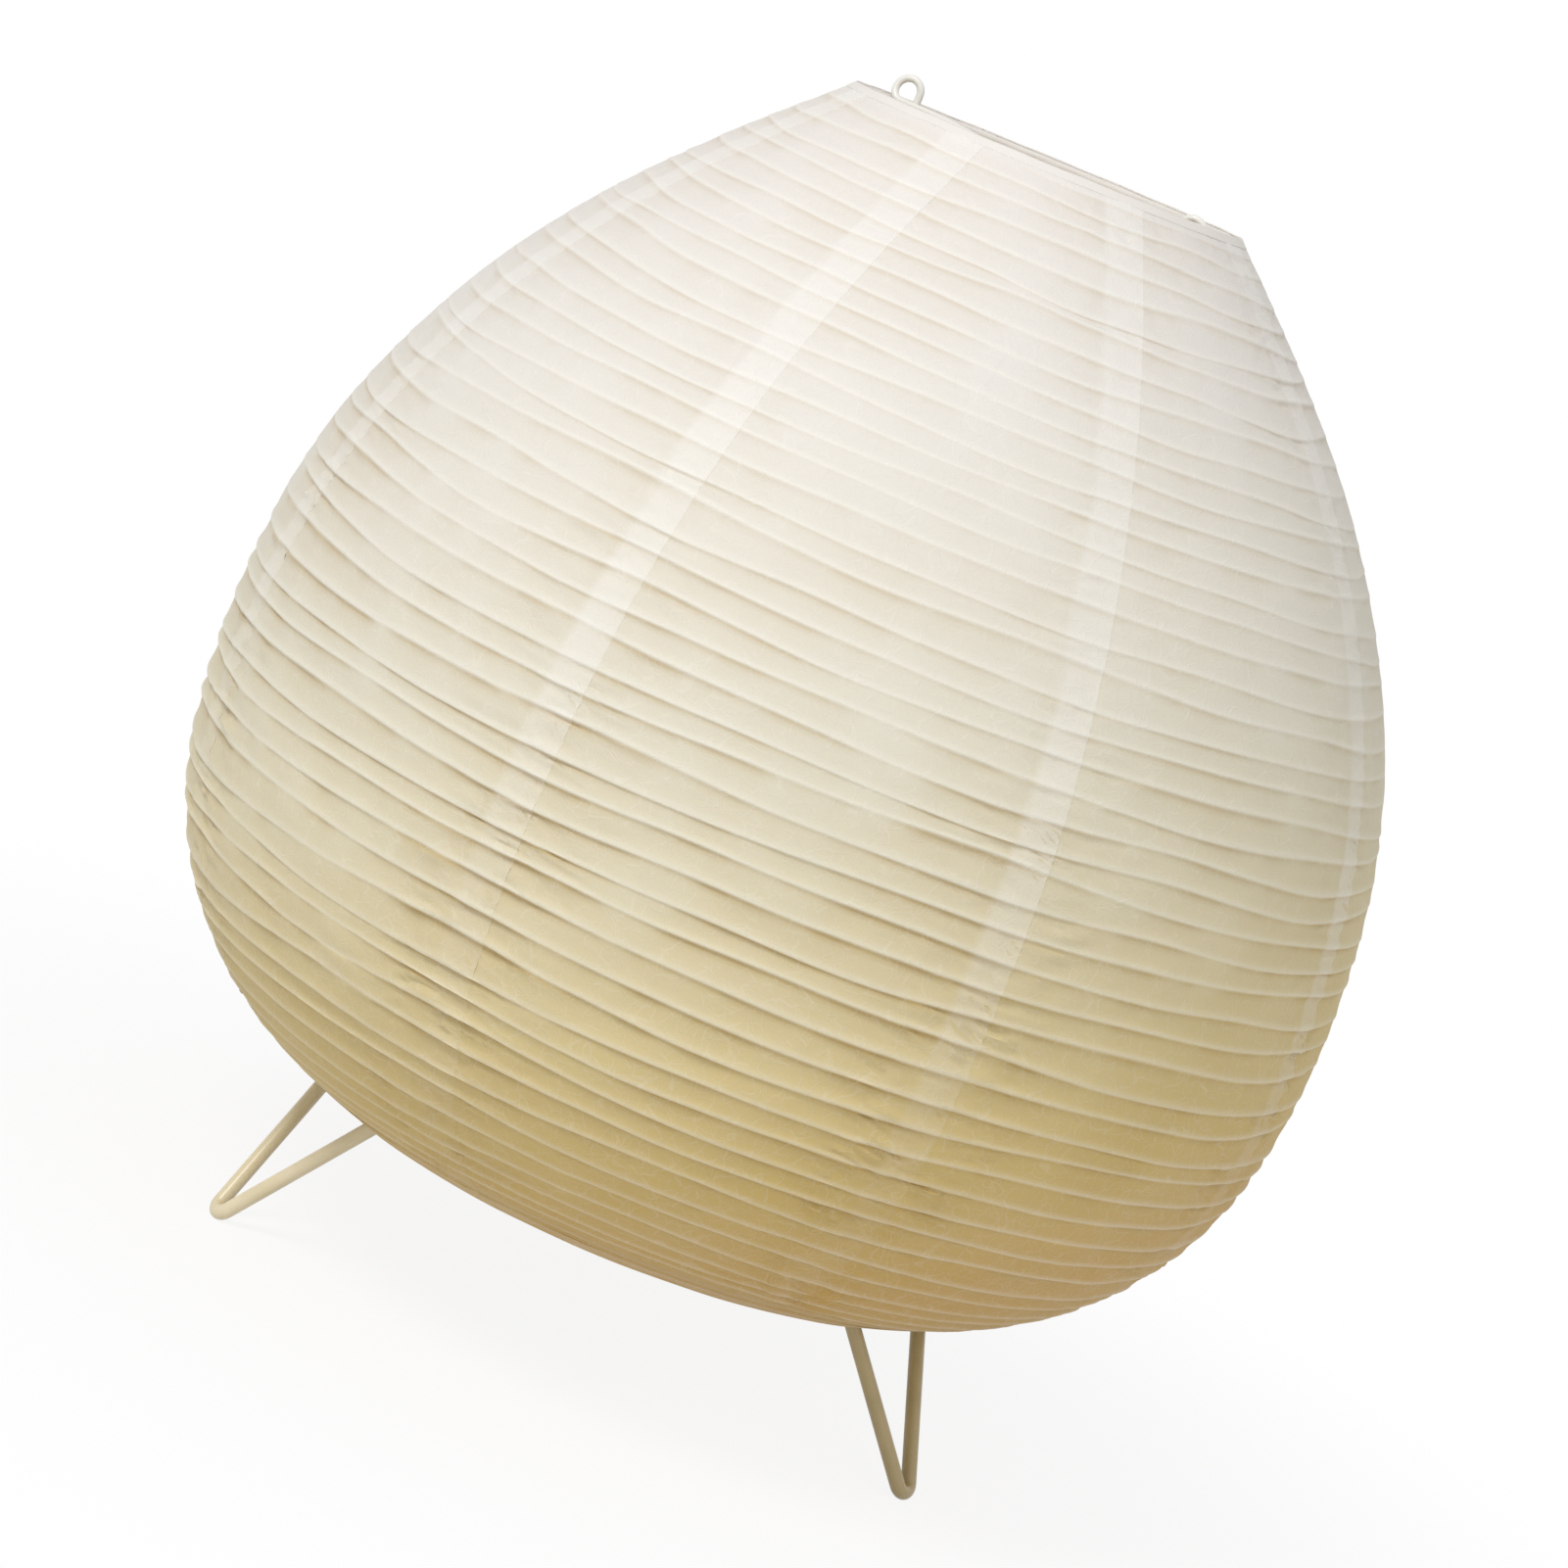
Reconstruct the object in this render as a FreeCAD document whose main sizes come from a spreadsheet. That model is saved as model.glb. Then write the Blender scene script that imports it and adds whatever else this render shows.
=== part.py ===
import FreeCAD, Part
import math
import os
import Sketcher

# Paper lantern floor lamp: a ribbed paper shade stretched over a wire frame
# that stands on three bent wire feet.
# Millimetres, +Z up.  The origin is on the floor, on the lamp's upright axis.
# The lamp's front faces -Y.

SIZES = {
    # paper shade: largest radius, height above the base ring, and the outer meridian's
    # stations as shares of those two
    "shade_radius": 250.0, "shade_height": 466.4,
    "rim_width_share": 0.342, "rim_rise_share": 1.0,
    "neck_width_share": 0.538, "neck_rise_share": 0.9014,
    "shoulder_width_share": 0.714, "shoulder_rise_share": 0.7942,
    "chest_width_share": 0.856, "chest_rise_share": 0.6741,
    "upper_belly_width_share": 0.964, "upper_belly_rise_share": 0.524,
    "equator_width_share": 1.0, "equator_rise_share": 0.3418,
    "lower_belly_width_share": 0.962, "lower_belly_rise_share": 0.1917,
    "hip_width_share": 0.876, "hip_rise_share": 0.1038,
    "base_width_share": 0.76, "base_rise_share": 0.0427,
    "panel_count": 8, "seam_gap_angle": 0.15,
    "paper_wall": 0.5, "scallop_depth": 1.0,
    # the one bamboo rib, wound from rim to hem
    "rib_turns": 47, "rib_radius": 1.0, "rib_sides": 6, "rib_gap": 0.4,
    "rib_end_margin": 6.0,
    # hoops and the paper tape round them
    "hoop_wire_radius": 1.5, "tape_gap": 0.15, "tape_wall": 0.4, "hoop_gap": 0.3,
    "hoop_setback": 2.0, "hoop_play": 1.1,
    # base frame
    "ring_radius": 140.6, "ring_height": 65.6, "frame_wire_radius": 3.25,
    "foot_step": 37.4, "foot_spread_angle": 12.0, "foot_bend_radius": 5.0,
    "foot_flat_depth": 0.4, "weld_gap": 0.05,
    "strap_width": 25.0, "strap_thickness": 3.0,
    # stretcher
    "stretcher_angle": -30.0, "stretcher_wire_radius": 1.65,
    "ear_radius": 5.35, "left_ear_rise": 3.0, "right_ear_rise": -5.0, "ear_side_step": 3.8,
    "socket_wall": 1.4, "socket_length": 16.0, "socket_gap": 0.15,
    "socket_floor": 2.5, "socket_end_gap": 0.5,
    # lamp holder
    "nipple_radius": 5.0, "nipple_bore_radius": 3.6, "nipple_below": 11.0,
    "nipple_above": 14.0, "thread_gap": 0.05,
    "nut_flats": 14.0, "nut_thickness": 3.0,
    "gland_radius": 8.0, "gland_tip_radius": 5.6, "gland_length": 15.0,
    "gland_bore_radius": 3.75, "gland_taper": 7.0,
    "holder_neck_radius": 9.0, "holder_neck_length": 8.0,
    "holder_cap_radius": 19.5, "holder_cap_length": 24.0, "holder_slope": 6.0,
    "holder_wall": 2.0, "ledge_width": 2.5, "ledge_depth": 8.0, "neck_step": 1.0,
    "holder_body_radius": 20.0, "holder_body_length": 38.0, "holder_mouth_radius": 16.0,
    "block_gap": 0.15, "block_length": 11.0,
    "shell_wall": 0.5, "shell_turns": 5,
    "terminal_screw_radius": 1.8, "terminal_screw_length": 7.0,
    "terminal_screw_reach": 9.5, "terminal_head_radius": 3.0, "terminal_head_length": 1.6,
    "contact_width": 5.0, "contact_height": 4.0, "contact_leaf": 0.5,
    "contact_reach": 8.0,
    # bulb
    "cap_root_radius": 12.3, "cap_crest_radius": 13.1, "thread_pitch": 3.6,
    "cap_turns": 6, "cap_wall": 0.4, "bulb_gap": 0.3, "cap_collar": 2.0,
    "button_radius": 4.8, "button_height": 1.2, "button_bevel": 1.0,
    "tip_length": 3.4, "glue_gap": 0.1,
    "globe_radius": 30.0, "globe_rise": 48.0, "glass_wall": 0.9, "glass_neck_radius": 12.6,
    "stem_radius": 4.2, "stem_length": 34.0, "stem_flare_height": 8.0, "stem_tip_radius": 2.0,
    "stem_tip_length": 6.0,
    "filament_radius": 0.8, "filament_length": 30.0, "filament_reach": 8.0,
    "filament_wire_radius": 0.4, "filament_end": 1.2, "filament_count": 4,
    "star_hub_radius": 1.0, "star_hub_length": 1.6,
}

SMALL = 1e-7          # lengths under this count as nothing
TURN_STEP = 0.001     # part of a turn over which the rib's direction is taken
TURN_SAMPLES = 16     # points per turn where the rib's clearance is measured

STATIONS = ("rim", "neck", "shoulder", "chest", "upper_belly",
            "equator", "lower_belly", "hip", "base")

doc = FreeCAD.newDocument("lantern_lamp")
sheet = doc.addObject("Spreadsheet::Sheet", "sizes")
for row, (alias, value) in enumerate(SIZES.items(), start=1):
    sheet.set(f"A{row}", alias)
    sheet.set(f"B{row}", str(value))
    sheet.setAlias(f"B{row}", alias)
doc.recompute()


def size(alias):
    """The value that the sheet holds under this name."""
    return float(getattr(sheet, alias))


def sized(text):
    """A sheet expression from plain names, such as 'ring_height - 2 * wall'."""
    names = sorted(SIZES, key=len, reverse=True)
    marks = {}
    for number, name in enumerate(names):
        mark = f"@{number}@"
        if name in text:
            text = text.replace(name, mark)
            marks[mark] = name
    for mark, name in marks.items():
        text = text.replace(mark, f"sizes.{name}")
    return text


def bind(item, **sizes):
    """Bind properties of an object to expressions of the sheet."""
    for name, text in sizes.items():
        item.setExpression(name, sized(text))


def lift(item, height):
    """Set an object on the axis, at a height given as an expression."""
    item.setExpression("Placement.Base.z", sized(height))


sub_parts = []


def keep(item, label):
    """Name a finished sub-part, which is then written to its own file."""
    item.Label = label
    sub_parts.append(item)
    return item


# ---------------------------------------------------------------- helpers

def torus(name, ring, wire, height, low=-180.0, high=180.0):
    item = doc.addObject("Part::Torus", name)
    bind(item, Radius1=ring, Radius2=wire)
    item.Angle1 = low
    item.Angle2 = high
    lift(item, height)
    return item


def cylinder(name, radius, length, height):
    item = doc.addObject("Part::Cylinder", name)
    bind(item, Radius=radius, Height=length)
    lift(item, height)
    return item


def combine(kind, name, *items):
    """A boolean of two objects: kind is Cut, Fuse or Common."""
    item = doc.addObject(f"Part::{kind}", name)
    item.Base, item.Tool = items
    return item


def origin_plane(body, role):
    return next(f for f in body.Origin.OriginFeatures if f.Role == role)


def turned_body(label, outline):
    """A body turned about the axis from (radius, height) corners given as expressions."""
    body = doc.addObject("PartDesign::Body", label + "_body")
    sketch = body.newObject("Sketcher::SketchObject", label + "_profile")
    sketch.AttachmentSupport = [(origin_plane(body, "XZ_Plane"), "")]
    sketch.MapMode = "FlatFace"
    doc.recompute()
    corners = [(evaluate(x), evaluate(y)) for x, y in outline]
    count = len(corners)
    for index in range(count):
        start = FreeCAD.Vector(*corners[index], 0)
        end = FreeCAD.Vector(*corners[(index + 1) % count], 0)
        sketch.addGeometry(Part.LineSegment(start, end), False)
    for index in range(count):
        sketch.addConstraint(Sketcher.Constraint("Coincident", index, 2, (index + 1) % count, 1))
    for index, (x, y) in enumerate(outline):
        place_corner(sketch, index, x, y, corners[index])
    turn = body.newObject("PartDesign::Revolution", label + "_turn")
    turn.Profile = sketch
    turn.ReferenceAxis = (sketch, ["V_Axis"])
    turn.Angle = 360.0
    return keep(body, label)


def evaluate(text):
    """The number that an expression of sheet names gives."""
    return float(sheet.evalExpression(sized(text)))


def place_corner(sketch, index, x, y, corner):
    """Hold one corner of a sketch to its two expressions."""
    if x == "0":
        sketch.addConstraint(Sketcher.Constraint("PointOnObject", index, 1, -2))
    else:
        number = sketch.addConstraint(Sketcher.Constraint("DistanceX", -1, 1, index, 1, corner[0]))
        sketch.setExpression(f"Constraints[{number}]", sized(x))
    number = sketch.addConstraint(Sketcher.Constraint("DistanceY", -1, 1, index, 1, corner[1]))
    sketch.setExpression(f"Constraints[{number}]", sized(y))


def biarc(start, start_way, end, end_way):
    """Two arcs that join two points with given directions, smoothly."""
    span = end - start
    ways = start_way + end_way
    spread = 1.0 - start_way.dot(end_way)
    along = span.dot(ways)
    if spread < SMALL ** 2:
        reach = span.dot(span) / (2.0 * along)
    else:
        reach = (-along + math.sqrt(along ** 2 + 2.0 * spread * span.dot(span))) / (2.0 * spread)
    middle = (start + start_way * reach + end - end_way * reach) * 0.5
    return [arc_from(start, start_way, middle), arc_from(end, end_way * -1.0, middle, True)]


def arc_from(point, way, other, backwards=False):
    """The arc that leaves one point in a direction and reaches the other point."""
    chord = other - point
    along = FreeCAD.Vector(chord).normalize()
    aside = way - along * way.dot(along)
    if aside.Length < SMALL:
        ends = (other, point) if backwards else (point, other)
        return Part.LineSegment(*ends).toShape()
    half_turn = math.acos(max(-1.0, min(1.0, way.dot(along))))
    rise = chord.Length / 2.0 * math.tan(half_turn / 2.0)
    top = (point + other) * 0.5 + aside.normalize() * rise
    ends = (other, top, point) if backwards else (point, top, other)
    return Part.Arc(*ends).toShape()


def wire_solid(edges, way, radius, sides=0):
    """A wire swept along smoothly joined edges: round, or with so many flat sides."""
    start = edges[0].Vertexes[0].Point
    circle = Part.Circle(start, way, radius)
    if sides:
        corners = [circle.value(2.0 * math.pi * side / sides) for side in range(sides)]
        section = Part.makePolygon(corners + corners[:1])
    else:
        section = Part.Wire([circle.toShape()])
    return Part.Wire(edges).makePipeShell([section], True, False)


def feature(label, shape):
    item = doc.addObject("Part::Feature", label)
    item.Shape = shape
    return keep(item, label)


# ---------------------------------------------------------------- paper shade

TAPE_RADIUS = size("hoop_wire_radius") + size("tape_gap") + size("tape_wall")
BOTTOM_HOOP_RADIUS = (size("ring_radius") + size("frame_wire_radius")
                      + size("hoop_play") + TAPE_RADIUS)


def meridian():
    """The shade's outer meridian in the XZ plane, from the rim to the bottom hoop's side."""
    points = []
    for station in STATIONS:
        radius = size("shade_radius") * size(station + "_width_share")
        rise = size("shade_height") * size(station + "_rise_share")
        points.append(FreeCAD.Vector(radius, 0, size("ring_height") + rise))
    hem_radius = BOTTOM_HOOP_RADIUS + TAPE_RADIUS + size("hoop_gap") + size("paper_wall")
    points.append(FreeCAD.Vector(hem_radius, 0, size("ring_height") - size("paper_wall")))
    curve = Part.BSplineCurve()
    curve.interpolate(points)
    return curve


SHADE_CURVE = meridian()
SHADE_LENGTH = SHADE_CURVE.length()
RIB_PITCH = (SHADE_LENGTH - 2 * size("rib_end_margin")) / size("rib_turns")


def on_shade(distance, inset=0.0):
    """A point of the meridian's plane: so far along it from the rim, so far inside it."""
    place = SHADE_CURVE.parameterAtDistance(min(max(distance, 0.0), SHADE_LENGTH))
    point = SHADE_CURVE.value(place)
    way = SHADE_CURVE.tangent(place)[0]
    outward = FreeCAD.Vector(-way.z, 0, way.x)
    return point - outward * inset


def panel_outline(turned_by):
    """Corners of one panel's ribbed section: a ridge at each rib, a hollow between."""
    phase = (turned_by / 360.0) % 1.0
    collar = size("hoop_setback") + 2.0 * TAPE_RADIUS
    clear = RIB_PITCH / 8.0
    stops = [(0.0, 0.0), (collar, 0.0)]
    for half_step in range(-2, 2 * int(size("rib_turns")) + 2):
        place = size("rib_end_margin") + RIB_PITCH * (phase + half_step / 2.0)
        if collar + clear < place < SHADE_LENGTH - collar - clear:
            stops.append((place, size("scallop_depth") * (half_step % 2)))
    stops += [(SHADE_LENGTH - collar, 0.0), (SHADE_LENGTH, 0.0)]
    outside = [on_shade(place, inset) for place, inset in stops]
    inside = [on_shade(place, inset + size("paper_wall")) for place, inset in stops]
    return outside + inside[::-1]


def paper_panels():
    """The gores of the shade, each turned through its share of the circle."""
    count = int(size("panel_count"))
    share = 360.0 / count
    for number in range(count):
        middle = -90.0 + share * number
        corners = panel_outline(middle + 90.0)
        face = Part.Face(Part.makePolygon(corners + corners[:1]))
        axis = FreeCAD.Vector(0, 0, 1)
        centre = FreeCAD.Vector(0, 0, 0)
        start = middle - share / 2.0 + size("seam_gap_angle") / 2.0
        face.rotate(centre, axis, start)
        feature(f"paper_panel_{number + 1}",
                face.revolve(centre, axis, share - size("seam_gap_angle")))


def bamboo_rib():
    """One strip wound from rim to hem, as a tube on half-turn biarcs."""
    inset = size("paper_wall") + size("rib_gap") + size("rib_radius")
    steps = 2 * int(size("rib_turns"))
    points = []
    ways = []
    for step in range(steps + 1):
        points.append(rib_point(step / 2.0, inset))
        after = rib_point(step / 2.0 + TURN_STEP, inset)
        before = rib_point(step / 2.0 - TURN_STEP, inset)
        ways.append((after - before).normalize())
    edges = []
    for step in range(steps):
        edges += biarc(points[step], ways[step], points[step + 1], ways[step + 1])
    solid = wire_solid(edges, ways[0], size("rib_radius"), int(size("rib_sides")))
    turns = [rib_point(index / TURN_SAMPLES, inset)
             for index in range(TURN_SAMPLES * int(size("rib_turns")) + 1)]
    gap = min((below - above).Length for above, below in zip(turns, turns[TURN_SAMPLES:]))
    print("rib: least gap to itself %.2f mm" % (gap - 2 * size("rib_radius")))
    feature("bamboo_rib", solid)


def rib_point(turn, inset):
    """A point of the rib's centre line, so many turns down from its top end."""
    flat = on_shade(size("rib_end_margin") + RIB_PITCH * turn, inset)
    angle = math.radians(360.0 * turn - 90.0)
    return FreeCAD.Vector(flat.x * math.cos(angle), flat.x * math.sin(angle), flat.z)


def hoops():
    """The two wire hoops and the paper tape folded round each."""
    top = top_hoop_point()
    add_size("top_hoop_radius", top.x)
    add_size("top_hoop_height", top.z)
    add_size("bottom_hoop_radius", BOTTOM_HOOP_RADIUS)
    keep(torus("top_wire", "top_hoop_radius", "hoop_wire_radius", "top_hoop_height"), "top_hoop")
    keep(torus("bottom_wire", "bottom_hoop_radius", "hoop_wire_radius", "ring_height"),
         "bottom_hoop")
    tape("top_hem", "top_hoop_radius", "top_hoop_height")
    tape("bottom_hem", "bottom_hoop_radius", "ring_height")


def top_hoop_point():
    """Centre of the top hoop's wire in the meridian's plane, inside the paper's rim."""
    return on_shade(size("hoop_setback"), size("paper_wall") + size("hoop_gap") + TAPE_RADIUS)


def add_size(alias, value):
    """Add a worked-out value to the sheet."""
    row = len(SIZES) + 1
    SIZES[alias] = value
    sheet.set(f"A{row}", alias)
    sheet.set(f"B{row}", str(value))
    sheet.setAlias(f"B{row}", alias)
    doc.recompute()


def tape(label, ring, height):
    """The paper tape wrapped round a hoop."""
    inner = "hoop_wire_radius + tape_gap"
    outer = torus(label + "_outer", ring, inner + " + tape_wall", height)
    core = torus(label + "_core", ring, inner, height)
    keep(combine("Cut", label + "_tape", outer, core), label)


# ---------------------------------------------------------------- base frame

STRAP_TOP = "(ring_height + strap_thickness / 2)"
STRAP_BOTTOM = "(ring_height - strap_thickness / 2)"


def base_ring():
    keep(torus("ring", "ring_radius", "frame_wire_radius", "ring_height"), "base_ring")


def leg(label, angle):
    """One foot: a wire bent to a V, its two arms coped to the base ring.

    The shade's bottom hoop rests on the arms where they come out from under the ring."""
    wire = size("frame_wire_radius")
    foot_reach = size("ring_radius") + size("foot_step")
    spread = math.radians(size("foot_spread_angle"))
    half_chord = size("ring_radius") * math.sin(spread)
    ring_reach = size("ring_radius") * math.cos(spread)
    bend_height = wire - size("foot_flat_depth")
    rise = size("ring_height") - bend_height
    run = foot_reach - ring_reach
    slope = FreeCAD.Vector(-run, 0, rise).normalize()
    across = FreeCAD.Vector(0, 1, 0)
    bottom = FreeCAD.Vector(foot_reach, 0, bend_height)
    centre = bottom + slope * size("foot_bend_radius")
    reach = math.hypot(run, rise) - size("foot_bend_radius")
    lean = math.atan2(half_chord, reach) - math.asin(
        size("foot_bend_radius") / math.hypot(half_chord, reach))
    ends = []
    tangents = []
    for side in (1, -1):
        arm = slope * math.cos(lean) + across * math.sin(lean) * side
        outward = across * math.cos(lean) * side - slope * math.sin(lean)
        tangents.append(centre + outward * size("foot_bend_radius"))
        ends.append(FreeCAD.Vector(ring_reach, half_chord * side, size("ring_height")))
    edges = [Part.LineSegment(ends[0], tangents[0]).toShape(),
             Part.Arc(tangents[0], bottom, tangents[1]).toShape(),
             Part.LineSegment(tangents[1], ends[1]).toShape()]
    solid = wire_solid(edges, tangents[0] - ends[0], wire)
    clear = wire + size("weld_gap")
    ring = Part.makeTorus(size("ring_radius"), clear, FreeCAD.Vector(0, 0, size("ring_height")))
    inside = Part.makeCylinder(size("ring_radius"), 4 * clear,
                               FreeCAD.Vector(0, 0, size("ring_height") - 2 * clear))
    above = Part.makeCylinder(foot_reach, 4 * clear,
                              FreeCAD.Vector(0, 0, size("ring_height")))
    patch = 4.0 * size("foot_bend_radius")
    floor = Part.makeBox(2 * patch, 2 * patch, patch,
                         FreeCAD.Vector(foot_reach - patch, -patch, -patch))
    solid = solid.cut([ring, inside, above, floor])
    solid.rotate(FreeCAD.Vector(0, 0, 0), FreeCAD.Vector(0, 0, 1), angle)
    feature(label, solid.Solids[0])


def base_strap():
    """The flat bar inside the ring that carries the lamp holder and the stretcher."""
    bar = doc.addObject("Part::Box", "strap_bar")
    bind(bar, Length="2 * ring_radius", Width="strap_width", Height="strap_thickness")
    bar.setExpression("Placement.Base.x", sized("-ring_radius"))
    bar.setExpression("Placement.Base.y", sized("-strap_width / 2"))
    lift(bar, STRAP_BOTTOM)
    hole = cylinder("strap_hole", "nipple_radius + thread_gap", "3 * strap_thickness",
                    f"{STRAP_BOTTOM} - strap_thickness")
    bored = combine("Cut", "strap_bored", bar, hole)
    ring = torus("strap_ends", "ring_radius", "frame_wire_radius + weld_gap", "ring_height")
    strap = combine("Cut", "strap", bored, ring)
    strap.Placement = turned_by_stretcher()
    keep(strap, "base_strap")


def turned_by_stretcher():
    turn = FreeCAD.Rotation(FreeCAD.Vector(0, 0, 1), size("stretcher_angle"))
    return FreeCAD.Placement(FreeCAD.Vector(0, 0, 0), turn)


# ---------------------------------------------------------------- stretcher

def ear_centre(rise):
    """Centre of an ear's loop in the stretcher's plane, resting against the top hem."""
    hoop = top_hoop_point()
    height = size("ring_height") + size("shade_height") + size(rise)
    apart = size("ear_radius") + size("stretcher_wire_radius") + TAPE_RADIUS + size("hoop_gap")
    inward = math.sqrt(apart ** 2 - (height - hoop.z) ** 2)
    return FreeCAD.Vector(hoop.x - inward, 0, height)


def half_stretcher(centre, middle_height, slope):
    """Edges from the middle of the crossbar, round one ear and down its upright."""
    radius = size("ear_radius")
    step = size("ear_side_step")
    start = FreeCAD.Vector(0, 0, middle_height)
    ear_bottom = FreeCAD.Vector(centre.x, 0, centre.z - radius)
    edges = biarc(start, crossbar_way(slope), ear_bottom, FreeCAD.Vector(1, 0, 0))
    quarters = 3
    turned = math.pi / 2.0 * quarters
    points = []
    ways = []
    for index in range(quarters + 1):
        angle = math.pi / 2.0 * index
        share = math.pi * index / quarters
        aside = -step * (1.0 - math.cos(share)) / 2.0
        drift = -step * math.pi / (2.0 * turned) * math.sin(share)
        points.append(FreeCAD.Vector(centre.x + radius * math.sin(angle), aside,
                                     centre.z - radius * math.cos(angle)))
        ways.append(FreeCAD.Vector(radius * math.cos(angle), drift,
                                   radius * math.sin(angle)).normalize())
    for index in range(quarters):
        edges += biarc(points[index], ways[index], points[index + 1], ways[index + 1])
    foot_height = evaluate(STRAP_TOP) + size("socket_floor") + size("socket_end_gap")
    foot = FreeCAD.Vector(points[-1].x, points[-1].y, foot_height)
    edges.append(Part.LineSegment(points[-1], foot).toShape())
    return edges, foot


def crossbar_way(slope):
    return FreeCAD.Vector(1, 0, slope).normalize()


def stretcher():
    """The bent wire that holds the shade open: crossbar, two ears, two uprights.

    One ear stands lower than the other, so the crossbar slopes a little."""
    right = ear_centre("right_ear_rise")
    left = ear_centre("left_ear_rise")
    slope = (right.z - left.z) / (right.x + left.x)
    middle_height = left.z - size("ear_radius") + slope * left.x
    right_edges, right_foot = half_stretcher(right, middle_height, slope)
    left_edges, left_foot = half_stretcher(left, middle_height, -slope)
    wire = size("stretcher_wire_radius")
    half = wire_solid(right_edges, crossbar_way(slope), wire)
    other = wire_solid(left_edges, crossbar_way(-slope), wire)
    other.rotate(FreeCAD.Vector(0, 0, 0), FreeCAD.Vector(0, 0, 1), 180)
    item = feature("stretcher", half.fuse(other).removeSplitter().Solids[0])
    item.Placement = turned_by_stretcher()
    return {"right_socket": right_foot, "left_socket": left_foot * -1.0}


def sockets(feet):
    """Two short tubes on the strap that the uprights drop into."""
    for label, foot in feet.items():
        name = label + "_tube"
        outer = cylinder(name + "_outer",
                         "stretcher_wire_radius + socket_gap + socket_wall", "socket_length",
                         "0")
        bore = cylinder(name + "_bore", "stretcher_wire_radius + socket_gap",
                        "socket_length", "socket_floor")
        tube = combine("Cut", name, outer, bore)
        spot = FreeCAD.Vector(foot.x, foot.y, evaluate(STRAP_TOP))
        tube.Placement = turned_by_stretcher().multiply(
            FreeCAD.Placement(spot, FreeCAD.Rotation()))
        keep(tube, label)


# ---------------------------------------------------------------- lamp holder

NUT_BOTTOM = f"({STRAP_BOTTOM} - nut_thickness)"
NIPPLE_BOTTOM = f"({STRAP_BOTTOM} - nipple_below)"
CAP_TOP = f"({STRAP_TOP} + holder_cap_length)"
BLOCK_BOTTOM = f"({CAP_TOP} - ledge_depth)"
BLOCK_TOP = f"({BLOCK_BOTTOM} + block_length)"


def nipple():
    top = f"{STRAP_TOP} + nipple_above"
    turned_body("threaded_nipple", [
        ("nipple_bore_radius", NIPPLE_BOTTOM), ("nipple_radius", NIPPLE_BOTTOM),
        ("nipple_radius", top), ("nipple_bore_radius", top)])


def lock_nut():
    """The hexagon nut that clamps the holder to the strap from below."""
    hexagon = doc.addObject("Part::Prism", "nut_hexagon")
    hexagon.Polygon = 6
    bind(hexagon, Circumradius="nut_flats / 2 / cos(30)", Height="nut_thickness")
    lift(hexagon, NUT_BOTTOM)
    hole = cylinder("nut_hole", "nipple_radius + thread_gap", "3 * nut_thickness",
                    f"{NUT_BOTTOM} - nut_thickness")
    nut = combine("Cut", "nut", hexagon, hole)
    keep(nut, "lock_nut")


def cord_gland():
    """The bush screwed on the nipple, where a supply cord would enter."""
    low = f"({NUT_BOTTOM} - gland_length)"
    seat = f"({NIPPLE_BOTTOM} - thread_gap)"
    wide = "nipple_radius + thread_gap"
    turned_body("cord_gland", [
        ("gland_bore_radius", low), ("gland_tip_radius", low),
        ("gland_radius", f"{low} + gland_taper"), ("gland_radius", NUT_BOTTOM),
        (wide, NUT_BOTTOM), (wide, seat), ("gland_bore_radius", seat)])


def holder_cap():
    """The lower half of the holder's case, with a ledge for the block."""
    wide = "holder_cap_radius - holder_wall"
    narrow = "nipple_radius + thread_gap"
    shoulder = f"{STRAP_TOP} + holder_neck_length"
    turned_body("holder_cap", [
        (narrow, STRAP_TOP), ("holder_neck_radius", STRAP_TOP), ("holder_neck_radius", shoulder),
        ("holder_cap_radius", f"{shoulder} + holder_slope"), ("holder_cap_radius", CAP_TOP),
        (wide, CAP_TOP), (wide, BLOCK_BOTTOM), (f"{wide} - ledge_width", BLOCK_BOTTOM),
        ("holder_neck_radius - neck_step", f"{shoulder} + holder_wall"),
        (narrow, f"{shoulder} + holder_wall")])


def holder_body():
    """The upper half of the holder's case, with a turned-in mouth."""
    top = f"{CAP_TOP} + holder_body_length"
    wide = "holder_body_radius - holder_wall"
    turned_body("holder_body", [
        (wide, CAP_TOP), ("holder_body_radius", CAP_TOP), ("holder_body_radius", top),
        ("holder_mouth_radius", top), ("holder_mouth_radius", f"{top} - holder_wall"),
        (wide, f"{top} - holder_wall")])


def terminal_holes(name, radius, length, height):
    """Two upright cylinders, one each side of the axis."""
    pair = []
    for side in (1, -1):
        item = cylinder(f"{name}_{len(pair) + 1}", radius, length, height)
        item.setExpression("Placement.Base.y", sized(f"{side} * terminal_screw_reach"))
        pair.append(item)
    return pair


def terminal_block():
    """The insulating disc, bored for its two terminal screws."""
    disc = cylinder("block_disc", "holder_cap_radius - holder_wall - block_gap",
                    "block_length", BLOCK_BOTTOM)
    holes = doc.addObject("Part::MultiFuse", "block_holes")
    holes.Shapes = terminal_holes("block_hole", "terminal_screw_radius + thread_gap",
                                  "terminal_screw_length", f"{BLOCK_BOTTOM} - thread_gap")
    keep(combine("Cut", "block", disc, holes), "terminal_block")


def terminal_screws():
    """The two screws that clamp the supply wires under the block."""
    shanks = terminal_holes("screw_shank", "terminal_screw_radius",
                            "terminal_screw_length - 2 * thread_gap + terminal_head_length",
                            f"{BLOCK_BOTTOM} - terminal_head_length")
    heads = terminal_holes("screw_head", "terminal_head_radius", "terminal_head_length",
                           f"{BLOCK_BOTTOM} - terminal_head_length")
    screws = doc.addObject("Part::MultiFuse", "screws")
    screws.Shapes = shanks + heads
    keep(screws, "terminal_screws")


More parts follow.
